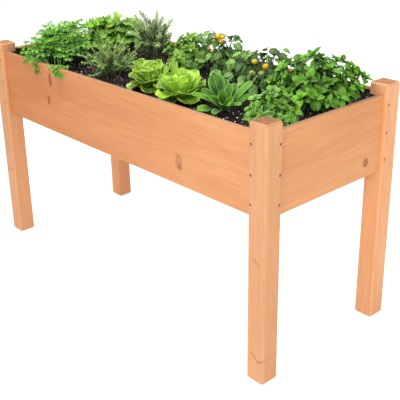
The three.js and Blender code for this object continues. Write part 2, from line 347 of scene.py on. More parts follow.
def timber(name, grain, seed, light, dark, pith, ring_gap, knots=(), rough=0.52, end_tone=1.0,
           scars=(), deeper=None):
    """Sawn softwood: growth rings round a pith that runs along `grain`, fibre streaks and knots.

    pith is where the tree's middle lies in the two directions across the grain. A knot is
    (place along the grain, place across it, half length, half height, darkness). A scar is a slanting
    planer nick: (place along the grain, place across it, slope, half length, half thickness).
    deeper is (deepest place, plain place): the wood grows redder from one to the other along the grain.
    """
    shade = Shade(name, rough, 0.35)
    axes = shade.split(shade.place())
    along, side, height = (axes[i] for i in GRAIN_OF[grain])
    face = side if grain == "Z" else height
    shifted = along + seed * 3.17

    def squeezed(lengthwise, crosswise):
        """The place in the wood, scaled one way along the grain and another way across it."""
        return shade.join(shifted * lengthwise, side * crosswise, height * crosswise)

    slow = squeezed(0.9, 5)
    cloud = shade.noise(slow, 2.3, 2, 0.5)
    sway = shade.noise(slow, 1.0, 2, 0.55) - 0.5
    ripple = shade.noise(squeezed(7, 30), 1.0, 3, 0.6) - 0.5
    fibre = shade.noise(squeezed(9, 420), 1.0, 3, 0.6)
    streak = shade.noise(squeezed(1.7, 60), 1.0, 2, 0.5)

    from_side, from_height = side - pith[0], height - pith[1]
    radius = shade.math("SQRT", from_side * from_side + from_height * from_height)
    radius = radius + sway * 0.085 + ripple * 0.0035
    radius, knot = bend_round_knots(shade, radius, along, face, ripple, ring_gap, knots)
    turns = shade.math("FRACT", radius / ring_gap)
    late = shade.span(turns, 0.35, 0.86) * shade.span(turns, 1.0, 0.9)

    rich = tuple(0.5 * (a + b) for a, b in zip(light, dark))
    base = shade.mix(shade.span(cloud, 0.3, 0.7), light, rich)
    base = shade.mix(late * shade.span(streak, 0.25, 0.7, 0.06, 0.32), base, dark)
    base = shade.mix(shade.span(streak, 0.55, 0.8, 0.0, 0.30), base, dark)
    base = shade.mix(shade.span(fibre, 0.42, 0.62, 0.0, 0.2), base, dimmed(dark, 0.72))
    if knots:
        base = shade.mix(knot, base, KNOT_BROWN)
    if deeper:
        base = shade.mix(shade.span(along, *deeper, 1.0, 0.0), base, REDDER, "MULTIPLY")
    if scars:
        base = shade.mix(scar_marks(shade, along, face, scars) * 0.75, base, SCAR_BROWN)
    normal = shade.split(shade.add("ShaderNodeNewGeometry", {}, "Normal"))
    if grain != "Z":
        # the upward faces of the boards are made a darker, greyer brown
        up_facing = shade.span(normal[2], 0.5, 0.9) * 0.85
        base = shade.mix(up_facing, base, shade.mix(cloud, TOP_EDGE, dimmed(TOP_EDGE, 0.7)))
    sawn = dimmed(END_GRAIN, end_tone)
    blotch = shade.span(shade.noise(shade.place(), 55, 3, 0.6), 0.38, 0.62)
    end_grain = shade.mix(blotch, sawn, dimmed(sawn, 0.6))
    end_grain = shade.mix(late * 0.45, end_grain, END_RINGS)
    end = shade.span(shade.math("ABSOLUTE", normal[GRAIN_OF[grain][0]]), 0.55, 0.95)
    shade.colour(shade.mix(end * 0.8, base, end_grain))
    sheen = shade.span(fibre, 0.3, 0.7, rough - 0.07, rough + 0.12)
    shade.roughness(shade.math("MAXIMUM", sheen, end * 0.95))
    shade.bump(late * 0.5 + fibre * 0.8, 0.35, 0.6 * MM)
    return shade.material


# per board: grain, pith behind the face, and its knots
BOARD_GRAIN = {
    "front_board": ("X", (-0.190, 0.640), [
        (-0.320, 0.683, 0.0065, 0.018, 1.0), (-0.319, 0.668, 0.0045, 0.007, 0.9),
        (-0.339, 0.607, 0.0065, 0.012, 0.95),
        (0.341, 0.567, 0.011, 0.019, 0.48), (0.346, 0.555, 0.0060, 0.009, 0.85)]),
    "back_board": ("X", (0.190, 0.560), [(0.205, 0.660, 0.012, 0.015, 0.7)]),
    "right_end_board": ("Y", (0.590, 0.655), [(0.153, 0.542, 0.009, 0.010, 0.95)]),
    "left_end_board": ("Y", (-0.600, 0.570), [(-0.080, 0.590, 0.012, 0.014, 0.7)]),
}

# the dark fibres that trail from the front board's knots: place along X, height, slope, half length,
# half thickness
BOARD_SCARS = [(-0.352, 0.630, -0.75, 0.020, 0.0045), (-0.356, 0.668, -2.5, 0.005, 0.0060)]

# the front right post's planer nicks: height, place along X, slope, half length, half thickness
POST_SCARS = [(0.378, 0.657, -0.7, 0.013, 0.0050), (0.081, 0.656, -0.8, 0.018, 0.0060),
              (0.074, 0.674, 0.4, 0.014, 0.0055)]

# a band across the front left post, given in the same way
BAND = [(0.265, -0.653, 0.10, 0.031, 0.0026)]

# per post: how light its wood is, how light its end grain is, and its nicks
POST_LOOKS = {
    "front_left_post": (0.90, 0.90, BAND),
    "front_right_post": (0.90, 0.46, POST_SCARS),
    "back_left_post": (1.08, 1.00, ()),
    "back_right_post": (1.08, 0.80, ()),
}


def assign(node, material):
    """Gives a CAD node's object its new material."""
    slots = NODES[node].data.materials
    if len(slots):
        slots[0] = material
    else:
        slots.append(material)


def soften(node):
    """Rounds a CAD node's sharp edges a little."""
    bevel = NODES[node].modifiers.new("eased_edges", "BEVEL")
    bevel.width = EASED_EDGE
    bevel.segments = 2
    bevel.limit_method = "ANGLE"
    bevel.angle_limit = math.radians(30)
    bevel.harden_normals = False


def dress_timber():
    """Boards, posts, and the hidden floor, each node with a wood of its own."""
    for seed, (node, (grain, pith, knots)) in enumerate(BOARD_GRAIN.items(), 1):
        deeper = (-0.60, 0.60) if node == "front_board" else None
        scars = BOARD_SCARS if node == "front_board" else ()
        assign(node, timber(f"{node}_wood", grain, seed, BOARD_LIGHT, BOARD_DARK, pith,
                            BOARD_RING_GAP, knots, scars=scars, deeper=deeper))
    posts = [n for n in NODES if n.endswith("_post")]
    for node in posts + list(BOARD_GRAIN):
        soften(node)
    for seed, node in enumerate(posts, 11):
        low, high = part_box(node)
        x, y = (low[0] + high[0]) / 2, (low[1] + high[1]) / 2
        pith = (x - math.copysign(30 * MM, x), y + 22 * MM)
        tone, end_tone, scars = POST_LOOKS[node]
        assign(node, timber(f"{node}_wood", "Z", seed, dimmed(POST_LIGHT, tone),
                            dimmed(POST_DARK, tone), pith, POST_RING_GAP,
                            end_tone=end_tone, scars=scars))
    for seed, node in enumerate([n for n in NODES if "slat" in n or "cleat" in n], 31):
        low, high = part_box(node)
        grain = "X" if high[0] - low[0] > high[1] - low[1] else "Y"
        side = (low[1] + high[1]) / 2 if grain == "X" else (low[0] + high[0]) / 2
        pith = (side + 20 * MM, low[2] - 50 * MM)
        assign(node, timber(f"{node}_wood", grain, seed, FLOOR_LIGHT, FLOOR_DARK, pith,
                            FLOOR_RING_GAP))


# ---- screws -------------------------------------------------------------------------

SCREW_SIDES = 24
HEAD_RADIUS = 4.2 * MM
SHANK_RADIUS = 1.7 * MM
THREAD_HEIGHT = 0.5 * MM
THREAD_PITCH = 2.2 * MM
THREAD_STEPS = 44
RECESS_ARM = 2.1 * MM
RECESS_HALF_WIDTH = 0.55 * MM
CLEAT_SCREWS = {"front_floor_cleat": 6, "back_floor_cleat": 6, "left_floor_cleat": 3,
                "right_floor_cleat": 3}


def recess_radius(angle):
    """Half width of a cross recess in the direction of `angle`."""
    quarter = math.pi / 2
    turned = abs((angle + quarter / 2) % quarter - quarter / 2)
    return min(RECESS_ARM, RECESS_HALF_WIDTH / max(math.sin(turned), 1e-3),
               RECESS_ARM / math.cos(turned))


def screw_points(length, dome):
    """Rings of a cross-recess wood screw whose head looks along +Y, its rim at y = 0."""
    neck = 0.0 if dome > 0.5 * MM else -3 * MM
    turns = [TAU * i / SCREW_SIDES for i in range(SCREW_SIDES)]
    points = []

    def add_ring(depth, radius_at):
        points.extend((radius_at(angle) * math.cos(angle), depth, radius_at(angle) * math.sin(angle))
                      for angle in turns)

    for share, depth in ((0.35, -1.9 * MM), (0.8, -1.2 * MM), (1.0, 0.1 * MM)):
        add_ring(depth + dome, lambda angle: share * recess_radius(angle))
    for radius, depth in ((HEAD_RADIUS * 0.8, dome), (HEAD_RADIUS, 0.0), (HEAD_RADIUS, -0.25 * MM),
                          (SHANK_RADIUS, neck - 0.4 * MM)):
        add_ring(depth, lambda angle: radius)
    start = neck - 3 * MM
    for k in range(THREAD_STEPS + 1):
        depth = start - (length - abs(start)) * k / THREAD_STEPS
        taper = min(1.0, (depth + length) / (5 * MM) + 0.12)

        def thread_radius(angle):
            turn = (depth / THREAD_PITCH - angle / TAU) % 1.0
            return (SHANK_RADIUS + max(0.0, 1 - abs(turn - 0.5) / 0.22) * THREAD_HEIGHT) * taper

        add_ring(depth, thread_radius)
    return points


def screw_shape(length, dome=0.0):
    """(points, faces) of a screw; dome is how far its head stands proud."""
    points = screw_points(length, dome)
    last = len(points) - SCREW_SIDES
    faces = [tuple(range(SCREW_SIDES)), tuple(reversed(range(last, len(points))))]
    for a in range(0, last, SCREW_SIDES):
        for i in range(SCREW_SIDES):
            j = (i + 1) % SCREW_SIDES
            faces.append((a + i, a + j, a + j + SCREW_SIDES, a + i + SCREW_SIDES))
    return np.array(points), faces


def screw_steel():
    """Yellow-passivated steel gone brown in the weather."""
    shade = Shade("screw_steel", 0.42, 0.5)
    place = shade.place()
    rust = shade.span(shade.noise(place, 900, 4, 0.6), 0.4, 0.62)
    shade.colour(shade.mix(rust, (0.46, 0.25, 0.12), (0.20, 0.085, 0.035)))
    shade.roughness(shade.span(rust, 0, 1, 0.36, 0.75))
    shade.bump(shade.noise(place, 1500, 3), 0.3, 0.2 * MM)
    shade.feed({"Metallic": 0.25})
    return shade.material


def dress_screws(steel):
    """Every post screw gets its cross recess and thread, where its CAD solid stands."""
    for node in [n for n in NODES if "_screw_" in n]:
        low, high = (np.array(corner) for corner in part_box(node))
        size, middle = high - low, (high + low) / 2
        axis = 0 if size[0] > size[1] else 1
        outward = np.zeros(3)
        outward[axis] = math.copysign(1, middle[axis])
        points, faces = screw_shape(float(size[axis]) - 0.4 * MM)
        head = middle + outward * float(size[axis]) / 2
        places = points @ facing(outward, UP).T + head - outward * 0.2 * MM
        piece = new_mesh(f"{node}_detail", places, faces, steel)
        settle(piece, "screw_steel", node)


def dress_cleat_screws(steel):
    """Round-headed screws through each floor cleat into its board, in one row a cleat."""
    points, faces = screw_shape(38 * MM, 1.4 * MM)
    for node, count in CLEAT_SCREWS.items():
        low, high = (np.array(corner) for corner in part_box(node))
        middle, size = (low + high) / 2, high - low
        run = 0 if size[0] > size[1] else 1
        across = 1 - run
        inward = np.zeros(3)
        inward[across] = -math.copysign(1, middle[across])
        turned = points @ facing(inward, UP).T
        row, row_faces = [], []
        for i in range(count):
            spot = middle.copy()
            spot[run] = low[run] + size[run] * (i + 0.5) / count
            spot[across] += inward[across] * (size[across] / 2 + 0.3 * MM)
            row.append(turned + spot)
            row_faces += [tuple(v + i * len(points) for v in face) for face in faces]
        piece = new_mesh(f"{node}_screws", np.concatenate(row), row_faces, steel)
        settle(piece, "screw_steel")


# ---- soil and liner -----------------------------------------------------------------

THREADS = 2600  # the cloth's waves per metre, in radians
SOIL_GAP = 2.7 * MM  # from the boards to the soil
CLOTH_GAP = 1.4 * MM  # from the boards to the cloth


def trough_ring(inset):
    """The inside of the trough, notched by the posts, as corners moved in by `inset`."""
    high, post_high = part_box("potting_soil")[1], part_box("front_left_post")[1]
    x, y = high[0] + SOIL_GAP - inset, high[1] + SOIL_GAP - inset
    notch_x, notch_y = -post_high[0] - inset, -post_high[1] - inset
    return [(-notch_x, -y), (notch_x, -y), (notch_x, -notch_y), (x, -notch_y), (x, notch_y),
            (notch_x, notch_y), (notch_x, y), (-notch_x, y), (-notch_x, notch_y), (-x, notch_y),
            (-x, -notch_y), (-notch_x, -notch_y)]


def walk(ring, step):
    """Points along a closed ring of corners, at most `step` apart."""
    points = []
    for (ax, ay), (bx, by) in zip(ring, ring[1:] + ring[:1]):
        count = max(1, round(math.hypot(bx - ax, by - ay) / step))
        points += [(ax + (bx - ax) * i / count, ay + (by - ay) * i / count) for i in range(count)]
    return points


def soil_height(x, y):
    """How far the soil stands above its level at a place: lumps on lumps."""
    lumps = noise.noise(Vector((x * 9, y * 9, 0.3))) * 3.0
    clods = noise.noise(Vector((x * 42, y * 42, 4.1))) * 2.2
    crumbs = abs(noise.noise(Vector((x * 130, y * 130, 7.7)))) * 3.4
    return (lumps + clods + crumbs - 1.0) * MM


def soil_surface(x, y):
    """The height of the soil's top at a place."""
    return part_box("potting_soil")[1][2] + soil_height(x, y)


def soil_mix():
    """Moist dark compost."""
    shade = Shade("potting_soil", 0.9, 0.25)
    place = shade.place()
    clods = shade.noise(place, 240, 5, 0.65)
    fleck = shade.span(shade.cells(place, 420), 0.12, 0.05)
    base = shade.ramp(clods, [(0.3, (0.003, 0.002, 0.002)), (0.52, (0.013, 0.007, 0.006)),
                              (0.7, (0.045, 0.026, 0.022))])
    shade.colour(shade.mix(fleck * 0.5, base, (0.12, 0.07, 0.045)))
    shade.roughness(shade.span(clods, 0.3, 0.7, 0.8, 0.97))
    shade.bump(shade.noise(place, 520, 4, 0.7), 0.8, 2 * MM)
    return shade.material


def make_soil(material):
    """The soil's body: a crumbly top on a grid, sides down to the floor, and a flat base."""
    low, high = (np.array(corner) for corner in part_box("potting_soil"))
    ring = trough_ring(SOIL_GAP)
    notch_x, notch_y = ring[1][0], -ring[2][1]
    step = 4.2 * MM
    xs = cut_steps([-high[0], -notch_x, notch_x, high[0]], step)
    ys = cut_steps([-high[1], -notch_y, notch_y, high[1]], step)
    index, points, faces = {}, [], []

    def corner(i, j):
        if (i, j) not in index:
            index[i, j] = len(points)
            points.append((xs[i], ys[j], high[2] + soil_height(xs[i], ys[j])))
        return index[i, j]

    for i in range(len(xs) - 1):
        for j in range(len(ys) - 1):
            middle_x, middle_y = (xs[i] + xs[i + 1]) / 2, (ys[j] + ys[j + 1]) / 2
            if abs(middle_x) < notch_x or abs(middle_y) < notch_y:
                faces.append((corner(i, j), corner(i + 1, j), corner(i + 1, j + 1), corner(i, j + 1)))
    edges = dict.fromkeys(edge for face in faces for edge in zip(face, face[1:] + face[:1]))
    rim = [edge for edge in edges if edge[::-1] not in edges]
    below = {}
    for a, b in rim:
        for v in (a, b):
            if v not in below:
                below[v] = len(points)
                points.append((*points[v][:2], float(low[2])))
        faces.append((b, a, below[a], below[b]))
    chain = {b: a for a, b in rim}
    start = next(iter(chain))
    loop, here = [below[start]], chain[start]
    while here != start:
        loop.append(below[here])
        here = chain[here]
    faces.append(tuple(loop))
    piece = new_mesh("potting_soil_bed", points, faces, material, smooth=True)
    settle(piece, "potting_soil", "potting_soil")


def cut_steps(stops, step):
    """Coordinates through every stop, at most `step` apart."""
    values = []
    for a, b in zip(stops, stops[1:]):
        count = max(1, math.ceil((b - a) / step))
        values += [a + (b - a) * i / count for i in range(count)]
    return values + [stops[-1]]


def pebble(rng, roughness=0.3):
    """A small angular lump of unit size: a squashed ball of few faces, pushed about."""
    rings, sides = 5, 7
    points = [(0, 0, -1.0)]
    for r in range(1, rings):
        polar = math.pi * r / rings
        reach, drop = math.sin(polar), -math.cos(polar)
        turns = [TAU * (s + 0.5 * (r % 2)) / sides for s in range(sides)]
        points += [(reach * math.cos(angle), reach * math.sin(angle), drop) for angle in turns]
    points.append((0, 0, 1.0))
    points = np.array(points) * (1 + roughness * rng.uniform(-1, 1, (len(points), 1)))
    points *= rng.uniform(0.6, 1.0, 3)
    faces = [(0, 1 + (s + 1) % sides, 1 + s) for s in range(sides)]
    for r in range(rings - 2):
        a, b = 1 + r * sides, 1 + (r + 1) * sides
        faces += [(a + s, a + (s + 1) % sides, b + (s + 1) % sides, b + s) for s in range(sides)]
    last = 1 + (rings - 2) * sides
    faces += [(last + s, last + (s + 1) % sides, len(points) - 1) for s in range(sides)]
    return points, faces


def random_turn(rng):
    """A rotation drawn evenly."""
    q = rng.normal(size=4)
    w, x, y, z = q / np.linalg.norm(q)
    return np.array([[1 - 2 * (y * y + z * z), 2 * (x * y - w * z), 2 * (x * z + w * y)],
                     [2 * (x * y + w * z), 1 - 2 * (x * x + z * z), 2 * (y * z - w * x)],
                     [2 * (x * z - w * y), 2 * (y * z + w * x), 1 - 2 * (x * x + y * y)]])


def scatter(name, material, seed, count, smallest, largest, stretch=(1, 1, 1), sunk=0.25):
    """Lumps strewn over the soil as one mesh."""
    rng = np.random.default_rng(seed)
    low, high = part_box("potting_soil")
    ring = trough_ring(12 * MM)
    notch_x, notch_y = ring[1][0], -ring[2][1]
    templates = [pebble(rng) for _ in range(6)]
    points, faces, total = [], [], 0
    for _ in range(count):
        x = rng.uniform(low[0] + 10 * MM, high[0] - 10 * MM)
        y = rng.uniform(low[1] + 8 * MM, high[1] - 8 * MM)
        if abs(x) > notch_x and abs(y) > notch_y:
            continue
        size = smallest + (largest - smallest) * rng.random() ** 2.2
        shape, shape_faces = templates[int(rng.integers(len(templates)))]
        lump = (shape * np.array(stretch) * size / 2) @ random_turn(rng).T
        lump += (x, y, soil_surface(x, y) + size * (0.5 - sunk) * min(stretch[2], 1))
        points.append(lump)
        faces += [tuple(v + total for v in face) for face in shape_faces]
        total += len(lump)
    piece = new_mesh(name, np.concatenate(points), faces, material)
    settle(piece, "potting_soil")


def perlite():
    """White expanded grains, pitted."""
    shade = Shade("perlite", 0.85, 0.3)
    place = shade.place()
    pits = shade.noise(place, 1100, 3)
    shade.colour(shade.mix(shade.span(pits, 0.3, 0.5), (0.66, 0.63, 0.60), (0.94, 0.93, 0.92)))
    shade.bump(pits, 0.5, 0.6 * MM)
    return shade.material


def bark():
    """Chips of bark and rotted wood, some pale and some nearly black."""
    shade = Shade("bark_chips", 0.8, 0.3)
    place = shade.place()
    tone = shade.noise(place, 160, 4, 0.6)
    shade.colour(shade.ramp(tone, [(0.36, (0.030, 0.014, 0.010)), (0.50, (0.12, 0.058, 0.040)),
                                   (0.66, (0.34, 0.20, 0.15))]))
    shade.bump(shade.noise(place, 900, 3), 0.5, 0.8 * MM)
    return shade.material


def ground_cloth():
    """Black spun ground cloth, faintly woven."""
    shade = Shade("ground_cloth", 0.88, 0.25)
    place = shade.place()
    x, y, z = shade.split(place)
    weave = shade.math("SINE", (x + y) * THREADS) * shade.math("SINE", z * THREADS)
    dust = shade.noise(place, 60, 4, 0.6)
    shade.colour(shade.mix(shade.span(dust, 0.4, 0.75), (0.008, 0.008, 0.009), (0.035, 0.028, 0.024)))
    shade.bump(weave, 0.4, 0.4 * MM)
    shade.feed({"Sheen Weight": 0.15})
    return shade.material


def make_liner(material):
    """The cloth tub: one sheet up the boards, round the posts and under the soil."""
    low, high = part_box("cloth_liner")
    ring = walk(trough_ring(CLOTH_GAP), 12 * MM)
    foot = low[2] + 0.6 * MM
    rows = [foot + (high[2] - foot) * share for share in (0, 0.3, 0.6, 0.8, 0.88, 0.94, 1)]
    points, faces = [], []
    soil_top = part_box("potting_soil")[1][2]
    for z in rows:
        loose = max(0.0, (z - soil_top + 4 * MM) / (high[2] - soil_top))
        for x, y in ring:
            fold = 0.5 + 0.5 * noise.noise(Vector((x * 26, y * 26, z * 9)))
            pull = 1 - loose * fold * 3.2 * MM / max(abs(x), abs(y), 0.2)
            sag = loose * 2.6 * MM * noise.noise(Vector((x * 11, y * 11, 3.0)))
            points.append((x * pull, y * pull, z + sag))
    count = len(ring)
    for first in range(0, count * (len(rows) - 1), count):
        for k in range(count):
            a, b = first + k, first + (k + 1) % count
            faces.append((a, b, b + count, a + count))
    faces.append(tuple(reversed(range(count))))
    piece = new_mesh("cloth_liner_sheet", points, faces, material, smooth=True)
    settle(piece, "liner_cloth", "cloth_liner")


# ---- leaf and stem shapes -----------------------------------------------------------

def facing(direction, up):
    """Columns of a turn that takes +Y to `direction` and +Z as near `up` as can be."""
    y = np.asarray(direction, float)
    y = y / np.linalg.norm(y)
    z = np.asarray(up, float) - y * float(np.dot(up, y))
    length = float(np.linalg.norm(z))
    if length < 1e-6:
        z = np.cross(y, (1.0, 0.0, 0.0))
        length = float(np.linalg.norm(z))
    z = z / length
    return np.column_stack((np.cross(y, z), y, z))


def bellied(peak, fullness):
    """A leaf outline, widest at `peak` along it; less fullness makes blunter ends."""

    def outline(v):
        v = np.clip(v, 1e-4, 1 - 1e-4)
        rise = (v / peak) ** (fullness * peak)
        fall = ((1 - v) / (1 - peak)) ** (fullness * (1 - peak))
        return np.maximum(rise * fall, 0.035)
    return outline


def lobed(peak, fullness, lobes, depth):
    """A leaf outline cut into lobes along each side."""
    whole = bellied(peak, fullness)
    return lambda v: whole(v) * (1 - depth * (0.5 + 0.5 * np.cos(TAU * lobes * v)))


def spoon(stalk, stalk_width, fullness):
    """A blade on a long flat stalk."""
    blade_part = bellied(0.52, fullness)

    def outline(v):
        return np.maximum(np.where(v > stalk, blade_part((v - stalk) / (1 - stalk)), 0), stalk_width)
    return outline


def blade(length, width, outline, along=8, across=4, cup=0.0, fold=0.0, droop=0.0, sweep=0.0,
          teeth=0.0, ruffle=0.0, waves=3.0, quilt=0.0, veins=6, phase=0.0, thick_rib=0.0):
    """A leaf from its base at the origin along +Y, upper side +Z: (points, quads, marks)."""
    v = np.linspace(0, 1, along + 1)
    u = np.linspace(-1, 1, across + 1)
    half = 0.5 * width * outline(v)
    half[1:-1] *= 1 + teeth * (-1.0) ** np.arange(1, along)
    angle = droop * v
    middle = (angle[1:] + angle[:-1]) / 2
    step = length / along
    mid_y = np.concatenate(([0], np.cumsum(np.cos(middle)) * step))
    mid_z = np.concatenate(([0], -np.cumsum(np.sin(middle)) * step))
    across_u, along_v = np.meshgrid(u, v)
    side = np.abs(across_u)
    half_grid = half[:, None]
    rise = (cup * side ** 2 + fold * side) * half_grid
    rise += ruffle * width * side ** 3 * np.sin(TAU * waves * along_v + phase + 1.7 * across_u)
    rise += 0.3 * ruffle * width * side ** 4 * np.sin(TAU * waves * 2.7 * along_v + 2.3 * phase)
    rise += quilt * width * np.sin(TAU * veins * (along_v - 0.35 * side)) * side * (1 - side ** 4)
    rise -= thick_rib * width * np.exp(-(across_u / 0.16) ** 2) * (1 - along_v)
    x = across_u * half_grid
    forward = sweep * side * half_grid
    y = mid_y[:, None] + forward * np.cos(angle)[:, None] + rise * np.sin(angle)[:, None]
    z = mid_z[:, None] - forward * np.sin(angle)[:, None] + rise * np.cos(angle)[:, None]
    points = np.column_stack((x.ravel(), y.ravel(), z.ravel()))
    row = (np.arange(along)[:, None] * (across + 1) + np.arange(across)[None, :]).ravel()
    quads = np.column_stack((row, row + 1, row + across + 2, row + across + 1))
    return points, quads, np.column_stack((across_u.ravel(), along_v.ravel()))


def tube(path, start_radius, end_radius, sides=5):
    """A round stem along a path, open at its ends, as (points, quads, marks)."""
    path = np.asarray(path, float)
    tangent = np.gradient(path, axis=0)
    tangent /= np.linalg.norm(tangent, axis=1)[:, None]
    reference = np.array((0.31, 0.17, 0.94)) if abs(tangent[0][2]) < 0.9 else np.array((0.9, 0.4, 0.1))
    first = np.cross(tangent, reference)
    first /= np.linalg.norm(first, axis=1)[:, None]
    second = np.cross(tangent, first)
    radius = np.linspace(start_radius, end_radius, len(path))[:, None]
    rings = []
    for i in range(sides):
        angle = TAU * i / sides
        rings.append(path + radius * (first * math.cos(angle) + second * math.sin(angle)))
    points = np.stack(rings, axis=1).reshape(-1, 3)
    marks = np.stack(np.meshgrid(np.arange(sides) / sides, np.linspace(0, 1, len(path))), -1)
    quads = []
    for k in range(len(path) - 1):
        for i in range(sides):
            j = (i + 1) % sides
            quads.append((k * sides + i, k * sides + j, (k + 1) * sides + j, (k + 1) * sides + i))
    return points, np.array(quads), marks.reshape(-1, 2)


def curve(base, tip, lean, rise, steps):
    """A path from base to tip, drawn to a point at `lean` of the way and `rise` above the base."""
    base, tip = np.asarray(base, float), np.asarray(tip, float)
    control = base + (tip - base) * lean
    control[2] = base[2] + rise
    t = np.linspace(0, 1, steps + 1)[:, None]
    return (1 - t) ** 2 * base + 2 * t * (1 - t) * control + t ** 2 * tip


def bow(base, tip, lift, steps=8, lean=0.35):
    """A stem's path from base to tip that leaves the soil steeply; lift above 1 arches over."""
    return curve(base, tip, lean, (tip[2] - base[2]) * lift, steps)


def wave(path, rng, amount):
    """Gives a stem's path a gentle crookedness that fades to nothing at its foot."""
    t = np.linspace(0, 1, len(path))[:, None]
    first = np.sin(t * rng.uniform(3.5, 7.0) + rng.uniform(0, TAU)) * rng.normal(0, 1, 3)
    second = np.sin(t * rng.uniform(7.0, 12.0) + rng.uniform(0, TAU)) * rng.normal(0, 0.4, 3)
    return path + (first + second) * t * amount


def trail(base, tip, crest):
    """A stem's path that rises to a crest and hangs down again to its tip."""
    return curve(base, tip, 0.62, crest, 12)


def along_path(path, share):
    """(place, direction) at a share of a path's points."""
    spot = share * (len(path) - 1)
    k = min(int(spot), len(path) - 2)
    step = path[k + 1] - path[k]
    return path[k] + step * (spot - k), step / np.linalg.norm(step)


def beside(stem):
    """The level direction square to a stem."""
    side = np.cross(stem, UP)
    return side / max(float(np.linalg.norm(side)), 1e-6)


def fanned(stem, side, angle):
    """A stem's direction turned toward its side by an angle."""
    return stem * math.cos(angle) + side * math.sin(angle)


def pick(rng, shapes):
    """One of the shapes, by chance."""
    return shapes[int(rng.integers(len(shapes)))]


class Foliage:
    """Gathers blades and stems into one mesh with a `leaf` attribute: across, along, chance."""

    def __init__(self):
        self.points, self.quads, self.marks, self.total = [], [], [], 0

    def add(self, shape, chance, turn=None, place=None, size=1.0):
        """Adds a shape as it stands, or turned, scaled and moved to its place."""
        points, quads, marks = shape
        if turn is not None:
            points = size * points @ turn.T + place
        self.points.append(points)
        self.quads.append(quads + self.total)
        self.marks.append(np.column_stack((marks, np.full(len(marks), chance))))
        self.total += len(points)

    def with_inner_shade(self):
        """The marks, with leaves inside and low in the bush darkened: painted shade."""
        points, marks = np.concatenate(self.points), np.concatenate(self.marks)
        middle = (points.max(0) + points.min(0)) / 2
        half = (points.max(0) - points.min(0)) / 2
        middle[2], half[2] = points[:, 2].min(), 2 * half[2]
        reach = np.linalg.norm((points - middle) / half, axis=1)
        # leaves deep inside and low in the bush get darker: painted shade
        open_share = np.clip((reach - 0.40) / 0.52, 0, 1)
        marks[:, 2] *= 0.08 + 0.92 * open_share ** 1.4
        return marks

    def build(self, name, material, slot, replaced=(), thickness=0.0, inner_shade=False):
        """Makes the piece; inner_shade darkens its inner and lower leaves as painted shade."""
        quads = np.concatenate(self.quads)
        piece = new_mesh(name, np.concatenate(self.points).tolist(), quads.tolist(), material, True)
        leaf = piece.data.attributes.new("leaf", "FLOAT_VECTOR", "POINT")
        marks = self.with_inner_shade() if inner_shade else np.concatenate(self.marks)
        leaf.data.foreach_set("vector", marks.astype(np.float32).ravel())
        if thickness:
            thicken(piece, thickness)
        settle(piece, slot, *replaced)
        return piece


def leaf_shade(name, dark, light, vein, rough=0.48, veins=6, vein_share=0.5, edge=None, gloss=0.4,
               patchy=0.45, relief=0.6 * MM, heart=0.0):
    """Leaf skin: each leaf its own tone, a pale midrib and side veins, mottling and dull patches.

    edge is the colour of a leaf's rim (partly painted highlight), patchy how strong the patches are,
    relief how deep the veins lie, and heart how far a leaf darkens toward its stalk (partly painted
    shade where leaves overlap).
    """
    shade = Shade(name, rough, gloss)
    across, along, chance = shade.leaf_marks()
    side = shade.math("ABSOLUTE", across)
    place = shade.place()
    mottle = shade.noise(place, 190, 3, 0.6)
    patch = shade.noise(place, 45, 2, 0.5) - 0.5
    tone = shade.math("ADD", chance * 0.95, patch * patchy, clamp=True)
    base = shade.mix(tone, dark, light)
    base = shade.mix(shade.span(mottle, 0.4, 0.68, 0.0, 0.25), base, dimmed(dark, 0.62))
    rib = shade.span(side, 0.11, 0.03)
    comb = shade.math("SINE", (along - side * 0.35) * (TAU * veins))
    lines = shade.math("MAXIMUM", rib, shade.span(comb, 0.6, 0.98) * 0.75)
    base = shade.mix(lines * vein_share, base, vein)
    # rims paler: partly the leaf's own paler edge, partly painted highlight where rims catch the light
    if edge is not None:
        base = shade.mix(shade.span(side, 0.55, 1.0, 0.0, 0.75), base, edge)
    # darker toward the stalk: partly the leaf's own deeper green there, partly painted shade where leaves
    # overlap
    if heart:
        base = shade.mix(shade.span(along, 0.45, 0.05, 0.0, heart), base, dark)
    shade.colour(base)
    shade.roughness(shade.span(mottle, 0.3, 0.7, rough - 0.08, rough + 0.14))
    shade.bump(mottle * 0.6 - lines, 0.7, relief)
    shade.feed({"Subsurface Weight": 0.12, "Subsurface Radius": (0.002, 0.004, 0.001),
                "Subsurface Scale": 0.6})
    return shade.material


def stem_shade(name, young, old, rough=0.5):
    """Stem skin, from old wood at its foot to young growth at its tip."""
    shade = Shade(name, rough, 0.35)
    _, along, chance = shade.leaf_marks()
    grain = shade.noise(shade.place(), 420, 3, 0.6)
    age = shade.span(along, 0.75, 0.05) + grain * 0.3
    age = shade.math("SUBTRACT", age, chance * 0.2, clamp=True)
    shade.colour(shade.mix(age, young, old))
    shade.bump(grain, 0.4, 0.5 * MM)
    return shade.material


# ---- how plants grow ----------------------------------------------------------------

GOLDEN_TURN = 2.39996  # the golden angle, in radians


def bed_of(node):
    """(foot on the soil, spread, height) of the plant that a CAD bush stands for."""
    low, high = (np.array(corner, float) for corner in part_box(node))
    foot = np.array(((low[0] + high[0]) / 2, (low[1] + high[1]) / 2, low[2] - 2 * MM))
    return foot, float(high[0] - low[0]) / 2, float(high[2] - low[2])


def view_turn(degrees):
    """A level direction; 0 is the picture's right, 90 away from the viewer, 180 its left."""
    angle = CAMERA_YAW + math.radians(degrees)
    return np.array((math.cos(angle), math.sin(angle), 0.0))


# leaves turn their faces to the light: up, and a little toward the viewer
SUNWARD = UP - 0.45 * view_turn(90)


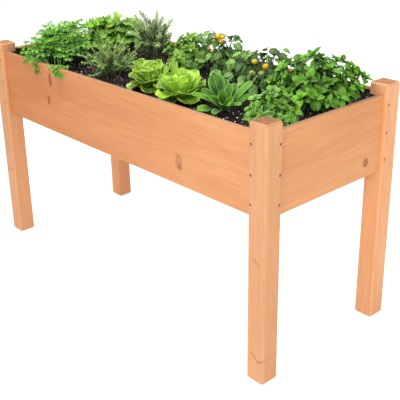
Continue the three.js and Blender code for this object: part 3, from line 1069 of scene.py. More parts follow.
def dome_tips(rng, foot, spread, height, count, rim, ragged):
    """Stem tips spread evenly over a dome; `rim` is its height at the edge as a share."""
    tips = []
    for i in range(count):
        out = math.sqrt((i + 0.5) / count)
        angle = i * GOLDEN_TURN + rng.normal(0, 0.2)
        up = height * (1 - (1 - rim) * out ** 2) * (1 + ragged * rng.uniform(-1.0, 0.6))
        reach = spread * out * rng.uniform(0.9, 1.03)
        tips.append(foot + (reach * math.cos(angle), reach * math.sin(angle), up))
    return tips


def pairs(leaves, rng, path, shapes, spots, sizes, lift, twist, whorl, tone):
    """Leaves in opposite pairs, or whorls, that turn a quarter from one knot to the next."""
    for k, (share, size) in enumerate(zip(spots, sizes)):
        place, stem = along_path(path, share)
        side = np.cross(stem, (0.13, 0.28, 0.95))
        side /= np.linalg.norm(side)
        other = np.cross(stem, side)
        for w in range(whorl):
            angle = twist + k * math.pi / whorl + TAU * w / whorl + rng.normal(0, 0.25)
            out = fanned(side, other, angle)
            rise = lift + rng.normal(0, 0.16)
            direction = out * math.cos(rise) + stem * math.sin(rise)
            turn = facing(direction, stem + 0.8 * SUNWARD + rng.normal(0, 0.12, 3))
            shape = pick(rng, shapes)
            # leaves lower on the stem come out darker: partly the older leaves' own deeper green, partly
            # painted shade under the leaves above
            chance = 0.5 * tone + 0.8 * (share - 0.3) + rng.normal(0, 0.18)
            leaves.add(shape, float(np.clip(chance, 0, 1)), turn, place, size * rng.uniform(0.82, 1.15))


def crown(leaves, rng, path, shapes, pair_count, size, lift):
    """The rosette that ends a stem: crossing pairs of leaves, smaller and steeper toward its heart."""
    place, stem = along_path(path, 1.0)
    stem = stem + 1.1 * SUNWARD
    stem = stem / np.linalg.norm(stem)
    turn = facing(stem, (0.3, 0.2, 0.9))
    start = rng.uniform(0, TAU)
    leaf_lightness = rng.uniform(0.12, 0.80)
    for k in range(pair_count):
        for half_turn in (0, math.pi):
            angle = start + k * math.pi / 2 + half_turn + rng.normal(0, 0.12)
            out = turn[:, 0] * math.cos(angle) + turn[:, 2] * math.sin(angle)
            rise = lift + 0.32 * k + rng.normal(0, 0.08)
            direction = out * math.cos(rise) + stem * math.sin(rise)
            shape = pick(rng, shapes)
            chance = leaf_lightness + 0.16 * k + rng.normal(0, 0.12)
            leaves.add(shape, float(np.clip(chance, 0, 1)), facing(direction, stem),
                       place + stem * size * 0.08 * k, size * (1 - 0.27 * k))


def leaflets(leaves, rng, path, shapes, spots, size, leaf_lightness=1.0):
    """A divided leaf: leaflets in pairs along a stalk and one at its end, all facing up.

    A leaf_lightness below 1 makes them darker.
    """
    for share in spots:
        place, stalk = along_path(path, share)
        up = SUNWARD + rng.normal(0, 0.22, 3)
        side = beside(stalk)
        for sign in (0.0,) if share == 1.0 else (-1.0, 1.0):
            direction = fanned(stalk, side, 0.95 * sign) + UP * rng.normal(0, 0.15)
            shape = pick(rng, shapes)
            chance = leaf_lightness * (0.25 + 0.75 * rng.random())
            leaves.add(shape, chance, facing(direction, up), place,
                       size * rng.uniform(0.8, 1.15) * (1.15 if share == 1.0 else 1.0))


def variants(count, seed, **settings):
    """The same blade a few times, each bent a little differently."""
    rng = np.random.default_rng(seed)
    made = []
    for _ in range(count):
        bent = dict(settings)
        bent["droop"] = settings.get("droop", 0.0) + rng.uniform(-0.3, 0.35)
        bent["fold"] = settings.get("fold", 0.0) + rng.uniform(-0.1, 0.12)
        bent["phase"] = rng.uniform(0, TAU)
        made.append(blade(**bent))
    return made


# ---- the planting -------------------------------------------------------------------

VIEW_RIGHT = view_turn(0)
VIEW_AWAY = view_turn(90)


def placed(foot, spread, height, right, away, up):
    """A place in a plant's own measure: shares of its spread to the right and away, and of its height."""
    return foot + VIEW_RIGHT * right * spread + VIEW_AWAY * away * spread + UP * up * height


def foot_near(rng, foot, tip, spread):
    """Where a stem leaves the soil: near the middle, drawn a little toward its tip."""
    base = foot + rng.normal(0, 0.14, 3) * spread + (tip - foot) * 0.24
    base[2] = foot[2] - 1 * MM
    return base


def stem_tips(rng, node, sprigs, domes, scale=(1, 1)):
    """The tips of a plant's stems: listed sprigs, then tips spread over domes.

    A sprig is (right, away, up) as `placed` takes it, and scale stretches them all. A dome is
    (right, away, spread, height, count, rim, ragged). The last dome is drawn first.
    """
    foot, spread, height = bed_of(node)
    tips = []
    for right, away, width, rise, count, rim, ragged in reversed(domes):
        middle = placed(foot, spread, height, right, away, 0)
        tips = dome_tips(rng, middle, spread * width, height * rise, count, rim, ragged) + tips
    return [placed(foot, spread * scale[0], height * scale[1], *sprig) for sprig in sprigs] + tips


def divided_leaf(leaves, stems, rng, path, shapes, spots, stalk, size, stem_radius, leaf_lightness=1.0):
    """Side stalks along the end of a stem, each with a leaflet at its tip and a pair below it."""
    for share in spots:
        place, stem = along_path(path, share)
        side = beside(stem)
        for sign in (0.0,) if share == 1.0 else (-1.0, 1.0):
            direction = fanned(stem, side, sign * rng.uniform(0.8, 1.2)) + UP * rng.normal(0.05, 0.2)
            reach = stalk * rng.uniform(0.75, 1.2) * (0.7 if share == 1.0 else 1.0)
            twig = bow(place, place + direction * reach, 0.75, 3)
            stems.add(tube(twig, stem_radius, stem_radius * 0.7, 4), 0.8)
            leaflets(leaves, rng, twig, shapes, (0.45, 1.0), size, leaf_lightness)


def grow_divided(plant, seed, plan, shapes, materials, size, stalk, radii,
                 spots=(0.62, 0.81, 1.0), trails=()):
    """A bush of divided leaves, each on its own stem from the soil.

    plan is the sprigs and domes of stem_tips. A trail is (tip, crest) of a stem that hangs over.
    """
    node = f"{plant}_plant"
    foot, spread, height = bed_of(node)
    rng = np.random.default_rng(seed)
    leaves, stems = Foliage(), Foliage()
    for tip in stem_tips(rng, node, *plan):
        path = bow(foot_near(rng, foot, tip, spread), tip, rng.uniform(0.9, 1.1))
        stems.add(tube(path, *radii), rng.random())
        # stems whose tips stand low get darker leaves: painted shade low in the bush
        leaf_lightness = 0.4 + 0.6 * min((tip[2] - foot[2]) / (0.8 * height), 1.0)
        divided_leaf(leaves, stems, rng, path, shapes, spots, stalk, size, radii[1], leaf_lightness)
    for tip, crest in trails:
        path = trail(foot_near(rng, foot, tip, spread), tip, crest)
        stems.add(tube(path, *radii), rng.random())
        divided_leaf(leaves, stems, rng, path, shapes, (0.84, 0.93, 1.0), stalk * 0.7, size, radii[1],
                     0.65)
    leaves.build(f"{plant}_leaves", materials[0], f"{plant}_leaf", (node,), inner_shade=True)
    stems.build(f"{plant}_stems", materials[1], f"{plant}_leaf")


def grow_parsley():
    """Flat parsley, with sprigs that lean out over the front board."""
    bed = bed_of("parsley_plant")
    shapes = variants(7, 22, length=1.0, width=1.05, outline=lobed(0.55, 1.7, 3, 0.72), along=12,
                      across=4, cup=0.25, fold=0.25, sweep=0.7, droop=0.6)
    sprigs = [(0.67, 0, 0.90), (-0.27, 0, 0.82), (-0.06, 0.1, 0.78), (-0.38, 0, 0.55),
              (-0.94, 0, 0.48), (-0.64, 0.05, 0.50), (-1.08, 0, 0.34), (1.0, 0, 0.68),
              (0.41, 0, 0.82), (0.15, 0, 0.66), (-0.92, -0.72, 0.34),
              (0.55, -1.75, 0.34), (0.3, -1.6, 0.36), (0.6, -1.35, 0.46), (0.75, -1.4, 0.36),
              (0.2, -1.25, 0.5), (0.85, -1.0, 0.5), (-0.2, -0.9, 0.52), (0.5, -0.8, 0.66),
              (0.95, -0.6, 0.6), (-0.35, -1.2, 0.34), (0.7, 0.1, 0.84),
              (0.85, 0, 0.8), (0.25, 0.1, 0.86), (0.05, 0, 0.8), (0.55, 0, 0.85), (-0.25, 0.1, 0.66)]
    hanging = [(-0.55, -1.16, 0.04), (-0.60, -1.10, 0.15), (-0.46, -1.20, 0.10), (-0.92, -0.78, 0.22),
               (-0.36, -1.24, 0.05),
               (0.30, -2.20, 0.06), (0.16, -2.12, 0.12), (0.38, -2.24, 0.13)]
    trails = [(placed(*bed, *spot), 84 * MM) for spot in hanging]
    dome = (0.28, -0.45, 0.95, 0.84, 58, 0.45, 0.32)
    leaf = leaf_shade("parsley_leaf", (0.024, 0.12, 0.006), (0.35, 0.86, 0.055),
                      (0.34, 0.68, 0.12), 0.42, 5, 0.35)
    stem = stem_shade("parsley_stem", (0.22, 0.42, 0.10), (0.16, 0.24, 0.07))
    grow_divided("parsley", 21, (sprigs, [dome]), shapes, (leaf, stem), 14.5 * MM, 15 * MM,
                 (1.1 * MM, 0.55 * MM), trails=trails)


def grow_coriander():
    """Coriander, with broad cut leaves and a few bare brown stems."""
    shapes = variants(6, 32, length=1.0, width=1.2, outline=lobed(0.58, 1.3, 3, 0.5), along=14,
                      across=6, cup=0.25, fold=0.25, sweep=0.65, droop=0.6, ruffle=0.04)
    sprigs = [(-0.94, 0, 0.68), (-0.48, 0, 0.84), (0.30, 0, 0.70), (0.56, -0.3, 0.78),
              (0.1, -0.3, 0.58), (-0.1, 0.2, 0.66), (0.62, 0.1, 0.64), (-0.75, 0.1, 0.52)]
    domes = [(0, 0, 1, 0.68, 19, 0.5, 0.30), (0, -0.45, 0.85, 0.5, 13, 0.5, 0.12)]
    leaf = leaf_shade("coriander_leaf", (0.028, 0.12, 0.008), (0.42, 0.79, 0.055),
                      (0.50, 0.82, 0.12), 0.40, 5, 0.35, heart=0.5)
    stem = stem_shade("coriander_stem", (0.20, 0.36, 0.08), (0.22, 0.13, 0.06))
    grow_divided("coriander", 31, (sprigs, domes), shapes, (leaf, stem), 31 * MM, 18 * MM,
                 (1.3 * MM, 0.6 * MM), (0.74, 1.0))


def grow_shoots(plant, seed, plan, leaf_kind, materials, radii, lift=0.9, thickness=0.0,
                tone=None, crook=3 * MM, blades="leaves"):
    """A bush of leafy shoots.

    plan is the sprigs, domes and scale of stem_tips. leaf_kind is shapes, knots (start, end, count),
    leaf sizes along a stem, lift, leaves in a whorl, and the end rosette's (pairs, share of the last
    size, lift). tone gives a shoot's lightness from how far right it leans and a random share.
    """
    node = f"{plant}_plant"
    foot, spread, _ = bed_of(node)
    rng = np.random.default_rng(seed)
    leaves, stems = Foliage(), Foliage()
    shapes, (first, last, count), sizes, rise, whorl, tuft = leaf_kind
    spots = np.linspace(first, last, count)
    grown = np.interp(spots, (first, 0.5 * (first + last), last), sizes)
    for tip in stem_tips(rng, node, *plan):
        path = bow(foot_near(rng, foot, tip, spread), tip, lift * rng.uniform(0.85, 1.15), 12)
        path = wave(path, rng, crook)
        stems.add(tube(path, *radii), rng.random())
        bright = rng.random()
        if tone:
            bright = tone(float(np.dot(tip - foot, VIEW_RIGHT)) / spread, bright)
        pairs(leaves, rng, path, shapes, spots, grown, rise, rng.uniform(0, TAU), whorl, bright)
        crown(leaves, rng, path, shapes, tuft[0], sizes[2] * tuft[1], tuft[2])
    leaves.build(f"{plant}_{blades}", materials[0], f"{plant}_leaf", (node,), thickness, True)
    stems.build(f"{plant}_stems", materials[1], f"{plant}_leaf")


def grow_rosemary():
    """Upright grey-green shoots packed with needles."""
    shapes = variants(5, 42, length=1.0, width=0.20, outline=bellied(0.45, 0.6), along=3, across=2,
                      cup=-0.5, droop=0.1)
    sprigs = [(-0.64, 0, 0.97), (0.17, 0, 1.0), (0.77, 0, 0.82), (-1.05, 0, 0.86), (-0.2, 0, 0.84),
              (0.5, 0.1, 0.68), (0.05, -0.5, 0.86), (-0.75, -0.5, 0.7), (0.25, -0.8, 0.6),
              (-0.35, -0.75, 0.74), (0.72, -0.5, 0.56), (-0.85, 0.1, 0.94), (-1.2, -0.3, 0.62),
              (-0.95, -0.2, 0.76), (0.4, -0.1, 0.84)]
    dome = (0, 0, 0.98, 0.74, 16, 0.55, 0.25)
    leaf = leaf_shade("rosemary_leaf", (0.026, 0.100, 0.012), (0.78, 1.0, 0.37), (0.86, 1.0, 0.52),
                      0.42, 2, 0.5)
    stem = stem_shade("rosemary_stem", (0.80, 0.90, 0.52), (0.16, 0.13, 0.07))
    kind = (shapes, (0.14, 0.97, 22), (17 * MM, 21 * MM, 13 * MM), 0.86, 4, (3, 0.95, 0.95))
    grow_shoots("rosemary", 41, (sprigs, [dome]), kind, (leaf, stem), (2.2 * MM, 1.3 * MM), 0.8,
                blades="needles")


def grow_thyme():
    """A fan of wiry pale stems clad in tiny leaves."""
    shapes = variants(4, 52, length=1.0, width=0.30, outline=bellied(0.5, 0.8), along=3, across=2,
                      cup=-0.3, droop=0.2)
    sprigs = [(-0.71, 0, 0.82), (-0.5, 0, 0.9), (-0.17, 0, 0.92), (-0.08, 0.1, 1.02), (0.16, 0, 0.96),
              (0.38, 0, 1.02), (0.57, 0, 0.92), (1.06, -0.1, 0.88), (-1.0, 0, 0.58),
              (-0.9, -0.2, 0.42), (-0.62, -0.8, 0.2), (-0.4, -0.7, 0.55), (0.2, -0.7, 0.5),
              (0.5, -0.6, 0.5), (-0.1, -0.75, 0.6)]
    dome = (0, -0.08, 1, 0.96, 40, 0.42, 0.22)
    leaf = leaf_shade("thyme_leaf", (0.016, 0.060, 0.005), (0.52, 0.84, 0.18), (0.62, 0.86, 0.30),
                      0.5, 2, 0.3)
    stem = stem_shade("thyme_stem", (0.56, 0.78, 0.26), (0.14, 0.17, 0.06), 0.55)
    kind = (shapes, (0.2, 0.98, 23), (8 * MM, 10 * MM, 8 * MM), 0.62, 2, (3, 1.05, 0.45))
    grow_shoots("thyme", 51, (sprigs, [dome], (1.08, 1.06)), kind, (leaf, stem),
                (1.6 * MM, 1.1 * MM), 0.72, crook=9 * MM)


def grow_mint():
    """A big mint: toothed leaves in crossing pairs, and a star of young ones on every shoot."""
    shapes = variants(8, 62, length=1.0, width=0.56, outline=bellied(0.42, 1.3), along=13, across=4,
                      cup=0.16, fold=0.24, droop=0.35, sweep=0.14, teeth=0.055, quilt=0.02, veins=6)
    sprigs = [(-0.13, 0, 0.88), (-0.46, 0, 0.80), (0.07, 0.2, 0.80), (0.39, 0, 0.76),
              (0.55, 0.1, 0.74), (0.82, 0, 0.62), (1.0, -0.1, 0.5), (-0.78, 0, 0.66),
              (0.86, -0.35, 0.36), (0.2, -0.3, 0.70), (-0.3, -0.55, 0.6), (-0.92, -0.1, 0.46),
              (0.10, -0.80, 0.22), (0.38, -0.64, 0.26), (0.60, -0.44, 0.30), (-0.25, -0.9, 0.3),
              (0.88, 0.1, 0.56), (1.06, -0.05, 0.42), (-0.85, 0.1, 0.60), (-0.66, 0.3, 0.72),
              (-1.02, 0.0, 0.46), (-0.3, 0.3, 0.8), (-0.70, -0.45, 0.34),
              (-0.52, -0.70, 0.26), (-0.48, -0.30, 0.52), (0.72, -0.1, 0.64),
              (0.90, 0.0, 0.52), (0.62, -0.25, 0.56)]
    dome = (0, 0, 0.90, 0.74, 17, 0.28, 0.18)
    leaf = leaf_shade("mint_leaf", (0.005, 0.046, 0.004), (0.25, 0.64, 0.040), (0.36, 0.70, 0.10),
                      0.36, 6, 0.5, gloss=0.3, heart=0.7)
    stem = stem_shade("mint_stem", (0.20, 0.40, 0.10), (0.20, 0.16, 0.09))
    kind = (shapes, (0.46, 0.86, 2), (36 * MM, 38 * MM, 36 * MM), 0.20, 2, (3, 0.95, 0.22))
    grow_shoots("mint", 61, (sprigs, [dome]), kind, (leaf, stem), (1.5 * MM, 0.8 * MM), 0.92, 0.4 * MM)


def grow_oregano():
    """Low oregano: round leaves that arch over, their rims painted pale as highlight."""
    shapes = variants(7, 72, length=1.0, width=0.80, outline=bellied(0.52, 0.62), along=12, across=6,
                      cup=0.14, fold=0.14, droop=0.45, quilt=0.004, veins=4)
    sprigs = [(-0.74, 0, 0.66), (-0.3, 0, 0.80), (0.17, 0, 0.88), (0.8, 0, 0.66), (1.12, -0.1, 0.5),
              (1.0, -0.5, 0.36), (0.45, -1.0, 0.2), (0.05, -0.9, 0.3), (-0.5, -0.9, 0.3),
              (-1.0, -0.1, 0.44), (-0.95, -0.45, 0.28), (0.5, 0, 0.80), (-0.1, -0.4, 0.70),
              (0.4, -0.45, 0.56), (-0.5, -0.35, 0.56), (-0.8, -0.7, 0.2), (0.8, -0.75, 0.24),
              (1.15, -0.3, 0.3)]
    dome = (0, 0, 0.72, 0.66, 4, 0.42, 0.12)
    leaf = leaf_shade("oregano_leaf", (0.005, 0.042, 0.003), (0.26, 0.62, 0.050), (0.40, 0.72, 0.14),
                      0.36, 4, 0.20, (0.33, 0.70, 0.10), 0.3, heart=0.8)
    stem = stem_shade("oregano_stem", (0.28, 0.46, 0.14), (0.24, 0.18, 0.10))
    kind = (shapes, (0.60, 0.74, 2), (28 * MM, 28 * MM, 28 * MM), 0.05, 2, (2, 1.0, 0.12))
    grow_shoots("oregano", 71, (sprigs, [dome], (0.82, 0.96)), kind, (leaf, stem),
                (1.4 * MM, 0.8 * MM), 0.9, 0.4 * MM, lambda lean, bright: bright - 1.1)


def grow_basil():
    """Basil: its shoots are yellow-green on one side and deeper green on the other."""
    shapes = variants(7, 82, length=1.0, width=0.56, outline=bellied(0.42, 1.6), along=13, across=6,
                      cup=0.22, fold=0.25, droop=0.7, quilt=0.016, teeth=0.05, veins=5)
    sprigs = [(-1.15, 0, 0.5), (-0.95, 0, 0.74), (-0.3, 0, 0.84), (0.14, 0, 0.92), (0.47, 0, 0.82),
              (0.7, -0.1, 0.5), (0.04, -1.1, 0.22), (-0.6, -0.6, 0.5), (-0.1, -0.5, 0.66),
              (0.95, 0.1, 0.72), (1.1, 0, 0.52), (0.85, -0.4, 0.36)]
    dome = (0, 0, 1.02, 0.76, 20, 0.4, 0.12)
    leaf = leaf_shade("basil_leaf", (0.016, 0.088, 0.010), (0.36, 0.66, 0.07), (0.38, 0.68, 0.16),
                      0.38, 5, 0.4, heart=0.5)
    stem = stem_shade("basil_stem", (0.28, 0.48, 0.12), (0.24, 0.30, 0.12))
    kind = (shapes, (0.34, 0.88, 4), (28 * MM, 37 * MM, 31 * MM), 0.28, 2, (3, 0.95, 0.35))
    grow_shoots("basil", 81, (sprigs, [dome]), kind, (leaf, stem), (1.5 * MM, 0.8 * MM), 0.92,
                0.4 * MM, lambda lean, bright: 0.2 - 0.6 * lean + 0.5 * bright)


def grow_lettuce(node, seed, light, outer_extra=()):
    """A butterhead: flat outer leaves, a cup of ruffled ones, and a tight pale heart.

    light scales its greens. outer_extra are more outer leaves: (degrees, lift, length, width, bend).
    """
    foot, spread, _ = bed_of(node)
    rng = np.random.default_rng(seed)
    leaves = Foliage()
    rings = [
        # count, rise, bend, length, width, ruffle, cup, base radius, chance
        (5, 0.56, 1.15, 0.94, 0.84, 0.026, 0.34, 0.10, 0.24),
        (6, 0.80, 0.75, 1.10, 0.94, 0.040, 0.34, 0.10, 0.36),
        (6, 1.02, 0.40, 1.16, 0.86, 0.065, 0.42, 0.08, 0.55),
        (7, 1.20, -0.05, 1.02, 0.68, 0.110, 0.50, 0.06, 0.76),
        (7, 1.34, -0.60, 0.88, 0.54, 0.150, 0.55, 0.04, 0.92),
        (7, 1.45, -1.00, 0.72, 0.42, 0.165, 0.60, 0.02, 1.00),
    ]
    turn = rng.uniform(0, TAU)
    for count, rise, bend, length, width, ruffle, cup, start, chance in rings:
        for i in range(count):
            angle = turn + TAU * i / count + rng.normal(0, 0.1)
            out = np.array((math.cos(angle), math.sin(angle), 0.0))
            lift = rise + rng.normal(0, 0.07)
            size = spread * rng.uniform(0.92, 1.08)
            shape = blade(length * size, width * size, bellied(0.66, 0.75), 26, 20, cup,
                          0.0, bend + rng.normal(0, 0.1), 0.12, 0.010, ruffle,
                          rng.uniform(1.6, 2.6) + 2 * chance, 0.016, 7, rng.uniform(0, TAU), 0.03)
            direction = out * math.cos(lift) + UP * math.sin(lift)
            place = foot + out * start * spread + UP * 4 * MM
            leaves.add(shape, float(np.clip(chance + rng.normal(0, 0.08), 0, 1)),
                       facing(direction, UP - 0.4 * out + rng.normal(0, 0.08, 3)), place)
        turn += TAU * 0.38
    for degrees, lift, length, width, bend in outer_extra:
        out = view_turn(degrees)
        shape = blade(length * spread, width * spread, bellied(0.7, 0.8), 20, 14, 0.35, 0.0, bend, 0.1,
                      0.015, 0.08, 3.0, 0.012, 7, 0.6, 0.03)
        direction = out * math.cos(lift) + UP * math.sin(lift)
        leaves.add(shape, 0.5, facing(direction, UP - 0.4 * out), foot + out * 0.1 * spread + UP * 4 * MM)
    name = node.replace("butterhead_", "")
    dark = dimmed((0.060, 0.23, 0.005), light)
    pale = dimmed((0.54, 0.84, 0.055), light)
    leaf = leaf_shade(f"{name}_leaf", dark, pale, (0.66, 0.88, 0.18), 0.32, 7, 0.45,
                      (0.56, 0.84, 0.12), 0.42, 0.9, 1.1 * MM)
    leaves.build(f"{name}_head", leaf, "butterhead_lettuce_leaf", (node,), 0.7 * MM)


def aim(shape, base, tip, upper):
    """(turn, place, size) that puts a blade's foot at base and its very tip at tip."""
    points, _, marks = shape
    end = points[np.argmin(np.abs(marks[:, 0]) + (1 - marks[:, 1]) * 10)]
    angle = math.atan2(end[2], end[1])
    level = np.array([[1, 0, 0], [0, math.cos(angle), math.sin(angle)],
                      [0, -math.sin(angle), math.cos(angle)]])
    reach = np.asarray(tip) - np.asarray(base)
    size = float(np.linalg.norm(reach)) / math.hypot(end[1], end[2])
    return facing(reach, upper) @ level, base, size


def grow_spinach():
    """A loose rosette of spoon-shaped leaves on long pale stalks."""
    node = "spinach_plant"
    foot, spread, height = bed_of(node)
    rng = np.random.default_rng(101)
    leaves = Foliage()
    rosette = [
        # tip (right, away, up), width, bend, stalk share, chance, upper side (right, away, up)
        ((-0.36, 0.20, 0.95), 0.70, 0.15, 0.42, 0.30, (0.25, -0.9, 0.35)),
        ((1.02, 0.00, 0.78), 0.32, 0.30, 0.40, 0.62, (-0.45, -0.65, 0.6)),
        ((0.98, -0.15, 0.46), 0.28, 0.25, 0.38, 0.78, (-0.1, -0.5, 0.85)),
        ((-1.15, -0.05, 0.50), 0.26, 0.95, 0.36, 0.60, (-0.1, -0.35, 0.9)),
        ((-0.98, -0.45, 0.16), 0.36, 0.50, 0.50, 0.60, (0.0, -0.35, 0.9)),
        ((-0.42, -0.85, 0.12), 0.34, 0.70, 0.40, 0.55, (-0.2, -0.4, 0.9)),
        ((-0.10, -0.30, 0.64), 0.38, 0.50, 0.40, 0.80, (0.0, -0.9, 0.4)),
        ((0.28, 0.00, 0.72), 0.36, 0.70, 0.36, 0.70, (-0.3, -0.7, 0.6)),
        ((0.50, 0.30, 0.66), 0.40, 0.60, 0.36, 0.40, (-0.3, -0.7, 0.6)),
        ((-0.55, -0.30, 0.46), 0.32, 0.80, 0.36, 0.95, (-0.1, -0.6, 0.75)),
        ((-0.78, 0.20, 0.58), 0.30, 0.70, 0.36, 0.45, (0.2, -0.5, 0.8)),
        ((0.15, -0.85, 0.34), 0.30, 0.90, 0.36, 0.85, (0.0, -0.5, 0.8)),
        ((0.55, -0.65, 0.30), 0.28, 0.80, 0.38, 0.70, (0.1, -0.5, 0.8)),
        ((-0.15, -0.80, 0.36), 0.30, 0.90, 0.36, 0.92, (0.0, -0.5, 0.8)),
        ((0.30, -0.45, 0.46), 0.30, 0.70, 0.36, 1.00, (-0.1, -0.7, 0.6)),
        ((0.05, 0.35, 0.80), 0.42, 0.40, 0.38, 0.35, (0.0, -0.8, 0.5)),
        ((0.70, 0.55, 0.42), 0.36, 0.70, 0.36, 0.30, (-0.2, -0.3, 0.9)),
        ((-0.60, 0.70, 0.40), 0.38, 0.70, 0.36, 0.35, (0.2, 0.1, 0.9)),
        ((0.10, 0.95, 0.38), 0.36, 0.70, 0.36, 0.35, (0.0, 0.2, 0.9)),
    ]
    for (right, away, up), width, bend, stalk, chance, upper in rosette:
        tip = placed(foot, spread, height, right, away, up)
        start = placed(foot, spread, height, right * 0.06, away * 0.06, 0.02)
        length = float(np.linalg.norm(tip - start))
        shape = blade(length, width * 0.92 * spread, spoon(stalk, 0.12, 0.85), 24, 12, 0.22, 0.16, bend,
                      0.06, 0.0, 0.022, 2.4, 0.012, 8, rng.uniform(0, TAU), 0.05)
        side = VIEW_RIGHT * upper[0] + VIEW_AWAY * upper[1] + UP * upper[2]
        turn, place, size = aim(shape, start, tip, side + rng.normal(0, 0.05, 3))
        leaves.add(shape, chance, turn, place, size)
    leaf = leaf_shade("spinach_leaf", (0.006, 0.060, 0.006), (0.25, 0.64, 0.036), (0.44, 0.72, 0.15),
                      0.30, 8, 0.26, (0.26, 0.58, 0.10), 0.4, 0.8, 1.0 * MM)
    leaves.build("spinach_rosette", leaf, "spinach_leaf", (node,), 0.7 * MM, True)


def fruit_shape(radius):
    """A cherry tomato hanging from the origin: round, a little flat, dimpled on top."""
    rings, sides = 14, 20
    points, marks = [], []
    for r in range(rings + 1):
        polar = math.pi * r / rings
        dimple = 0.16 * math.exp(-(polar / 0.32) ** 2)
        level = radius * (0.93 * math.cos(polar) - dimple - 0.8)
        for s in range(sides):
            angle = TAU * s / sides
            reach = radius * math.sin(polar) * (1 + 0.018 * math.cos(5 * angle) * math.sin(polar))
            points.append((reach * math.cos(angle), reach * math.sin(angle), level))
            marks.append((s / sides, r / rings))
    quads = []
    for a in range(0, rings * sides, sides):
        for s in range(sides):
            after = (s + 1) % sides
            quads.append((a + s, a + sides + s, a + sides + after, a + after))
    return np.array(points), np.array(quads), np.array(marks)


def fruit_shade():
    """Tomato skin that goes from pale green through yellow to orange, fruit by fruit."""
    shade = Shade("tomato_fruit", 0.22, 0.5)
    _, along, chance = shade.leaf_marks()
    ripe = chance + (shade.noise(shade.place(), 70, 2) - 0.5) * 0.22
    skin = shade.ramp(ripe, [(0.0, (0.42, 0.58, 0.16)), (0.3, (0.62, 0.66, 0.22)),
                             (0.55, (0.85, 0.60, 0.04)), (0.8, (0.90, 0.42, 0.015)),
                             (1.0, (0.62, 0.20, 0.05))])
    shoulder = shade.span(along, 0.3, 0.05, 0.0, 0.5)
    shade.colour(shade.mix(shoulder, skin, (0.40, 0.50, 0.09)))
    shade.bump(shade.noise(shade.place(), 900, 2), 0.12, 0.3 * MM)
    shade.feed({"Subsurface Weight": 0.25, "Subsurface Radius": (0.006, 0.004, 0.001),
                "Subsurface Scale": 0.5, "Coat Weight": 0.3, "Coat Roughness": 0.12})
    return shade.material


def hang_fruit(fruit, stems, sepals, rng, joint, spot, radius, ripeness):
    """One tomato under its knuckled stalk, with five green sepals."""
    top = spot + UP * radius * 0.75
    stalk = bow(joint, top, 1.0, 6, 0.5)
    stems.add(tube(stalk, 0.9 * MM, 0.8 * MM), 0.6)
    lean = UP + rng.normal(0, 0.14, 3)
    turn = facing(np.cross(lean, (1.0, 0.2, 0.1)), lean)
    fruit.add(fruit_shape(radius), ripeness, turn, top)
    for i in range(5):
        angle = TAU * i / 5 + rng.normal(0, 0.12)
        out = turn @ np.array((math.cos(angle), math.sin(angle), 0.0))
        shape = blade(radius * 0.95, radius * 0.26, bellied(0.35, 0.8), 5, 2, 0.2, 0.1, 0.9)
        sepals.add(shape, 0.7, facing(out + 0.35 * turn[:, 2], turn[:, 2]), top - turn[:, 2] * 0.05 * radius)


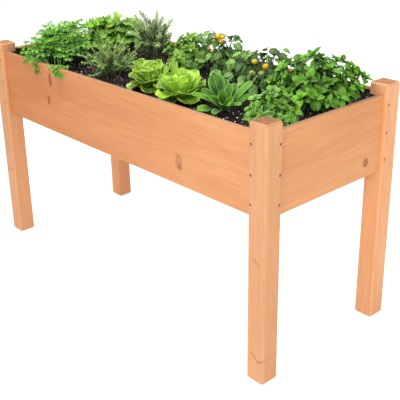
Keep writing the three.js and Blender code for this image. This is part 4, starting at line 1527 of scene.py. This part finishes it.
def grow_tomato(node, seed, sprigs, trusses, flowers, shared):
    """A bush tomato: arching branches of drooping cut leaves, with trusses of fruit.

    A truss is (its joint, its berries), each berry (right, away, up, radius in mm, ripeness). shared
    are the leaf, stem, fruit and petal materials.
    """
    foot, spread, height = bed_of(node)
    rng = np.random.default_rng(seed)
    leaves, stems, fruit, petals = Foliage(), Foliage(), Foliage(), Foliage()
    shapes = variants(8, seed + 1, length=1.0, width=0.66, outline=lobed(0.36, 1.35, 4, 0.32), along=16,
                      across=6, cup=-0.3, fold=0.3, droop=1.0, sweep=0.35, ruffle=0.05, quilt=0.02)
    for tip in stem_tips(rng, node, sprigs, [(0, 0, 0.92, 0.62, 9, 0.42, 0.12)]):
        path = bow(foot_near(rng, foot, tip, spread), tip, 1.15 * rng.uniform(0.9, 1.1), 10)
        stems.add(tube(path, 2.0 * MM, 0.9 * MM), rng.random())
        for share in (0.48, 0.66, 0.84, 1.0):
            place, stem = along_path(path, share)
            side = beside(stem)
            for sign in (0.0,) if share == 1.0 else (-1.0, 1.0):
                direction = fanned(stem, side, sign * rng.uniform(0.8, 1.3))
                direction[2] = direction[2] * 0.3 - rng.uniform(-0.15, 0.5)
                twig = bow(place, place + direction * 13 * MM, 0.9, 3)
                stems.add(tube(twig, 0.8 * MM, 0.6 * MM, 4), 0.7)
                size = 37 * MM * rng.uniform(0.75, 1.15) * (1.1 if share == 1.0 else 1.0)
                leaves.add(pick(rng, shapes), rng.random(),
                           facing(direction, SUNWARD + rng.normal(0, 0.35, 3)), twig[-1], size)
    for joint, berries in trusses:
        knuckle = placed(foot, spread, height, *joint)
        root = foot_near(rng, foot, knuckle, spread)
        stems.add(tube(bow(root, knuckle, 1.1, 10), 1.7 * MM, 1.0 * MM), 0.5)
        for right, away, up, radius, ripeness in berries:
            spot = placed(foot, spread, height, right, away, up)
            hang_fruit(fruit, stems, leaves, rng, knuckle, spot, radius * MM, ripeness)
    for spot in flowers:
        place = placed(foot, spread, height, *spot)
        stalk = bow(place - UP * 14 * MM - VIEW_RIGHT * 6 * MM, place, 0.8, 4)
        stems.add(tube(stalk, 0.7 * MM, 0.6 * MM, 4), 0.8)
        for i in range(6):
            angle = TAU * i / 6 + rng.normal(0, 0.1)
            out = VIEW_RIGHT * math.cos(angle) + UP * math.sin(angle) - VIEW_AWAY * 0.5
            shape = blade(8 * MM, 2.8 * MM, bellied(0.35, 0.8), 5, 2, 0.2, 0.1, 0.7)
            petals.add(shape, 0.5, facing(out, -VIEW_AWAY), place)
    leaf, stem, skin, petal = shared
    short = node.replace("_plant", "")
    leaves.build(f"{short}_leaves", leaf, "tomato_leaf", (node,), 0.35 * MM, True)
    stems.build(f"{short}_stems", stem, "tomato_leaf")
    fruit.build(f"{short}_fruit", skin, "tomato_leaf")
    if flowers:
        petals.build(f"{short}_flowers", petal, "tomato_leaf")


def petal_shade():
    """Dull yellow petals."""
    shade = Shade("tomato_petal", 0.5)
    tone = shade.noise(shade.place(), 300, 2)
    shade.colour(shade.mix(tone, (0.80, 0.62, 0.10), (0.92, 0.80, 0.35)))
    shade.bump(tone, 0.2, 0.3 * MM)
    return shade.material


def grow_tomatoes():
    """Two plants that share their materials."""
    leaf = leaf_shade("tomato_leaf", (0.005, 0.034, 0.006), (0.30, 0.57, 0.110), (0.44, 0.70, 0.22),
                      0.38, 6, 0.4, gloss=0.3)
    stem = stem_shade("tomato_stem", (0.13, 0.24, 0.08), (0.12, 0.15, 0.08))
    shared = (leaf, stem, fruit_shade(), petal_shade())
    grow_tomato("tomato_plant_left", 111,
                [(-1.0, 0, 0.92), (-0.75, 0.1, 0.84), (0.15, 0, 0.80), (0.42, 0.1, 0.72), (0.46, 0, 0.5),
                 (-0.9, -0.2, 0.5), (0.1, -0.6, 0.34), (-0.4, -0.8, 0.22), (0.7, -0.5, 0.3)],
                [((-0.35, -0.2, 0.90), [(-0.50, -0.3, 0.86, 10.5, 0.56), (-0.36, -0.35, 0.76, 10.0, 0.60),
                                        (-0.70, -0.3, 0.77, 8.5, 0.32), (-0.26, -0.3, 0.84, 8.5, 0.52)]),
                 ((-0.40, -0.3, 0.56), [(-0.58, -0.4, 0.46, 9.5, 0.12), (-0.34, -0.4, 0.42, 7.0, 0.08)])],
                [(-0.92, -0.3, 0.62), (-0.78, -0.35, 0.56)], shared)
    grow_tomato("tomato_plant_right", 121,
                [(-0.54, 0, 0.86), (-0.3, 0, 0.84), (0.21, 0, 0.90), (0.6, 0, 0.86), (-0.73, 0, 0.62),
                 (-0.8, -0.3, 0.36), (-0.55, -0.7, 0.3), (0.1, -0.5, 0.4), (0.55, -0.4, 0.42),
                 (-0.2, -0.9, 0.14), (0.5, -0.9, 0.1)],
                [((-0.18, -0.4, 0.78), [(-0.30, -0.5, 0.71, 9.5, 0.58), (0.04, -0.5, 0.58, 10.5, 0.66),
                                        (-0.37, -0.55, 0.44, 9.5, 0.14), (-0.08, -0.55, 0.43, 10.0, 0.18)]),
                 ((0.30, -0.75, 0.42), [(0.24, -0.95, 0.34, 9.0, 0.80), (0.62, -0.9, 0.30, 7.0, 0.92)])],
                [(0.30, -0.2, 0.86)], shared)


def plant_the_trough():
    """All twelve plants."""
    grow_parsley()
    grow_coriander()
    grow_rosemary()
    grow_thyme()
    grow_lettuce("butterhead_lettuce_left", 91, 0.70,
                 [(215, 0.7, 0.90, 0.60, 0.7), (130, 1.1, 1.4, 0.75, 0.3), (70, 1.15, 1.3, 0.9, 0.3)])
    grow_lettuce("butterhead_lettuce_right", 95, 1.08, [(140, 1.35, 1.5, 0.55, 0.1)])
    grow_basil()
    grow_spinach()
    grow_tomatoes()
    grow_oregano()
    grow_mint()


# ---- the scene ----------------------------------------------------------------------

make_camera()
make_light()
make_floor()
dress_timber()
STEEL = screw_steel()
dress_screws(STEEL)
dress_cleat_screws(STEEL)
make_liner(ground_cloth())
COMPOST = soil_mix()
make_soil(COMPOST)
scatter("soil_crumbs", COMPOST, 5, 3400, 2.0 * MM, 9.0 * MM)
scatter("bark", bark(), 6, 1500, 3 * MM, 17 * MM, (1.0, 0.42, 0.22), 0.1)
scatter("perlite_grains", perlite(), 7, 1500, 1.6 * MM, 5.4 * MM, (1, 1, 1), 0.1)
plant_the_trough()
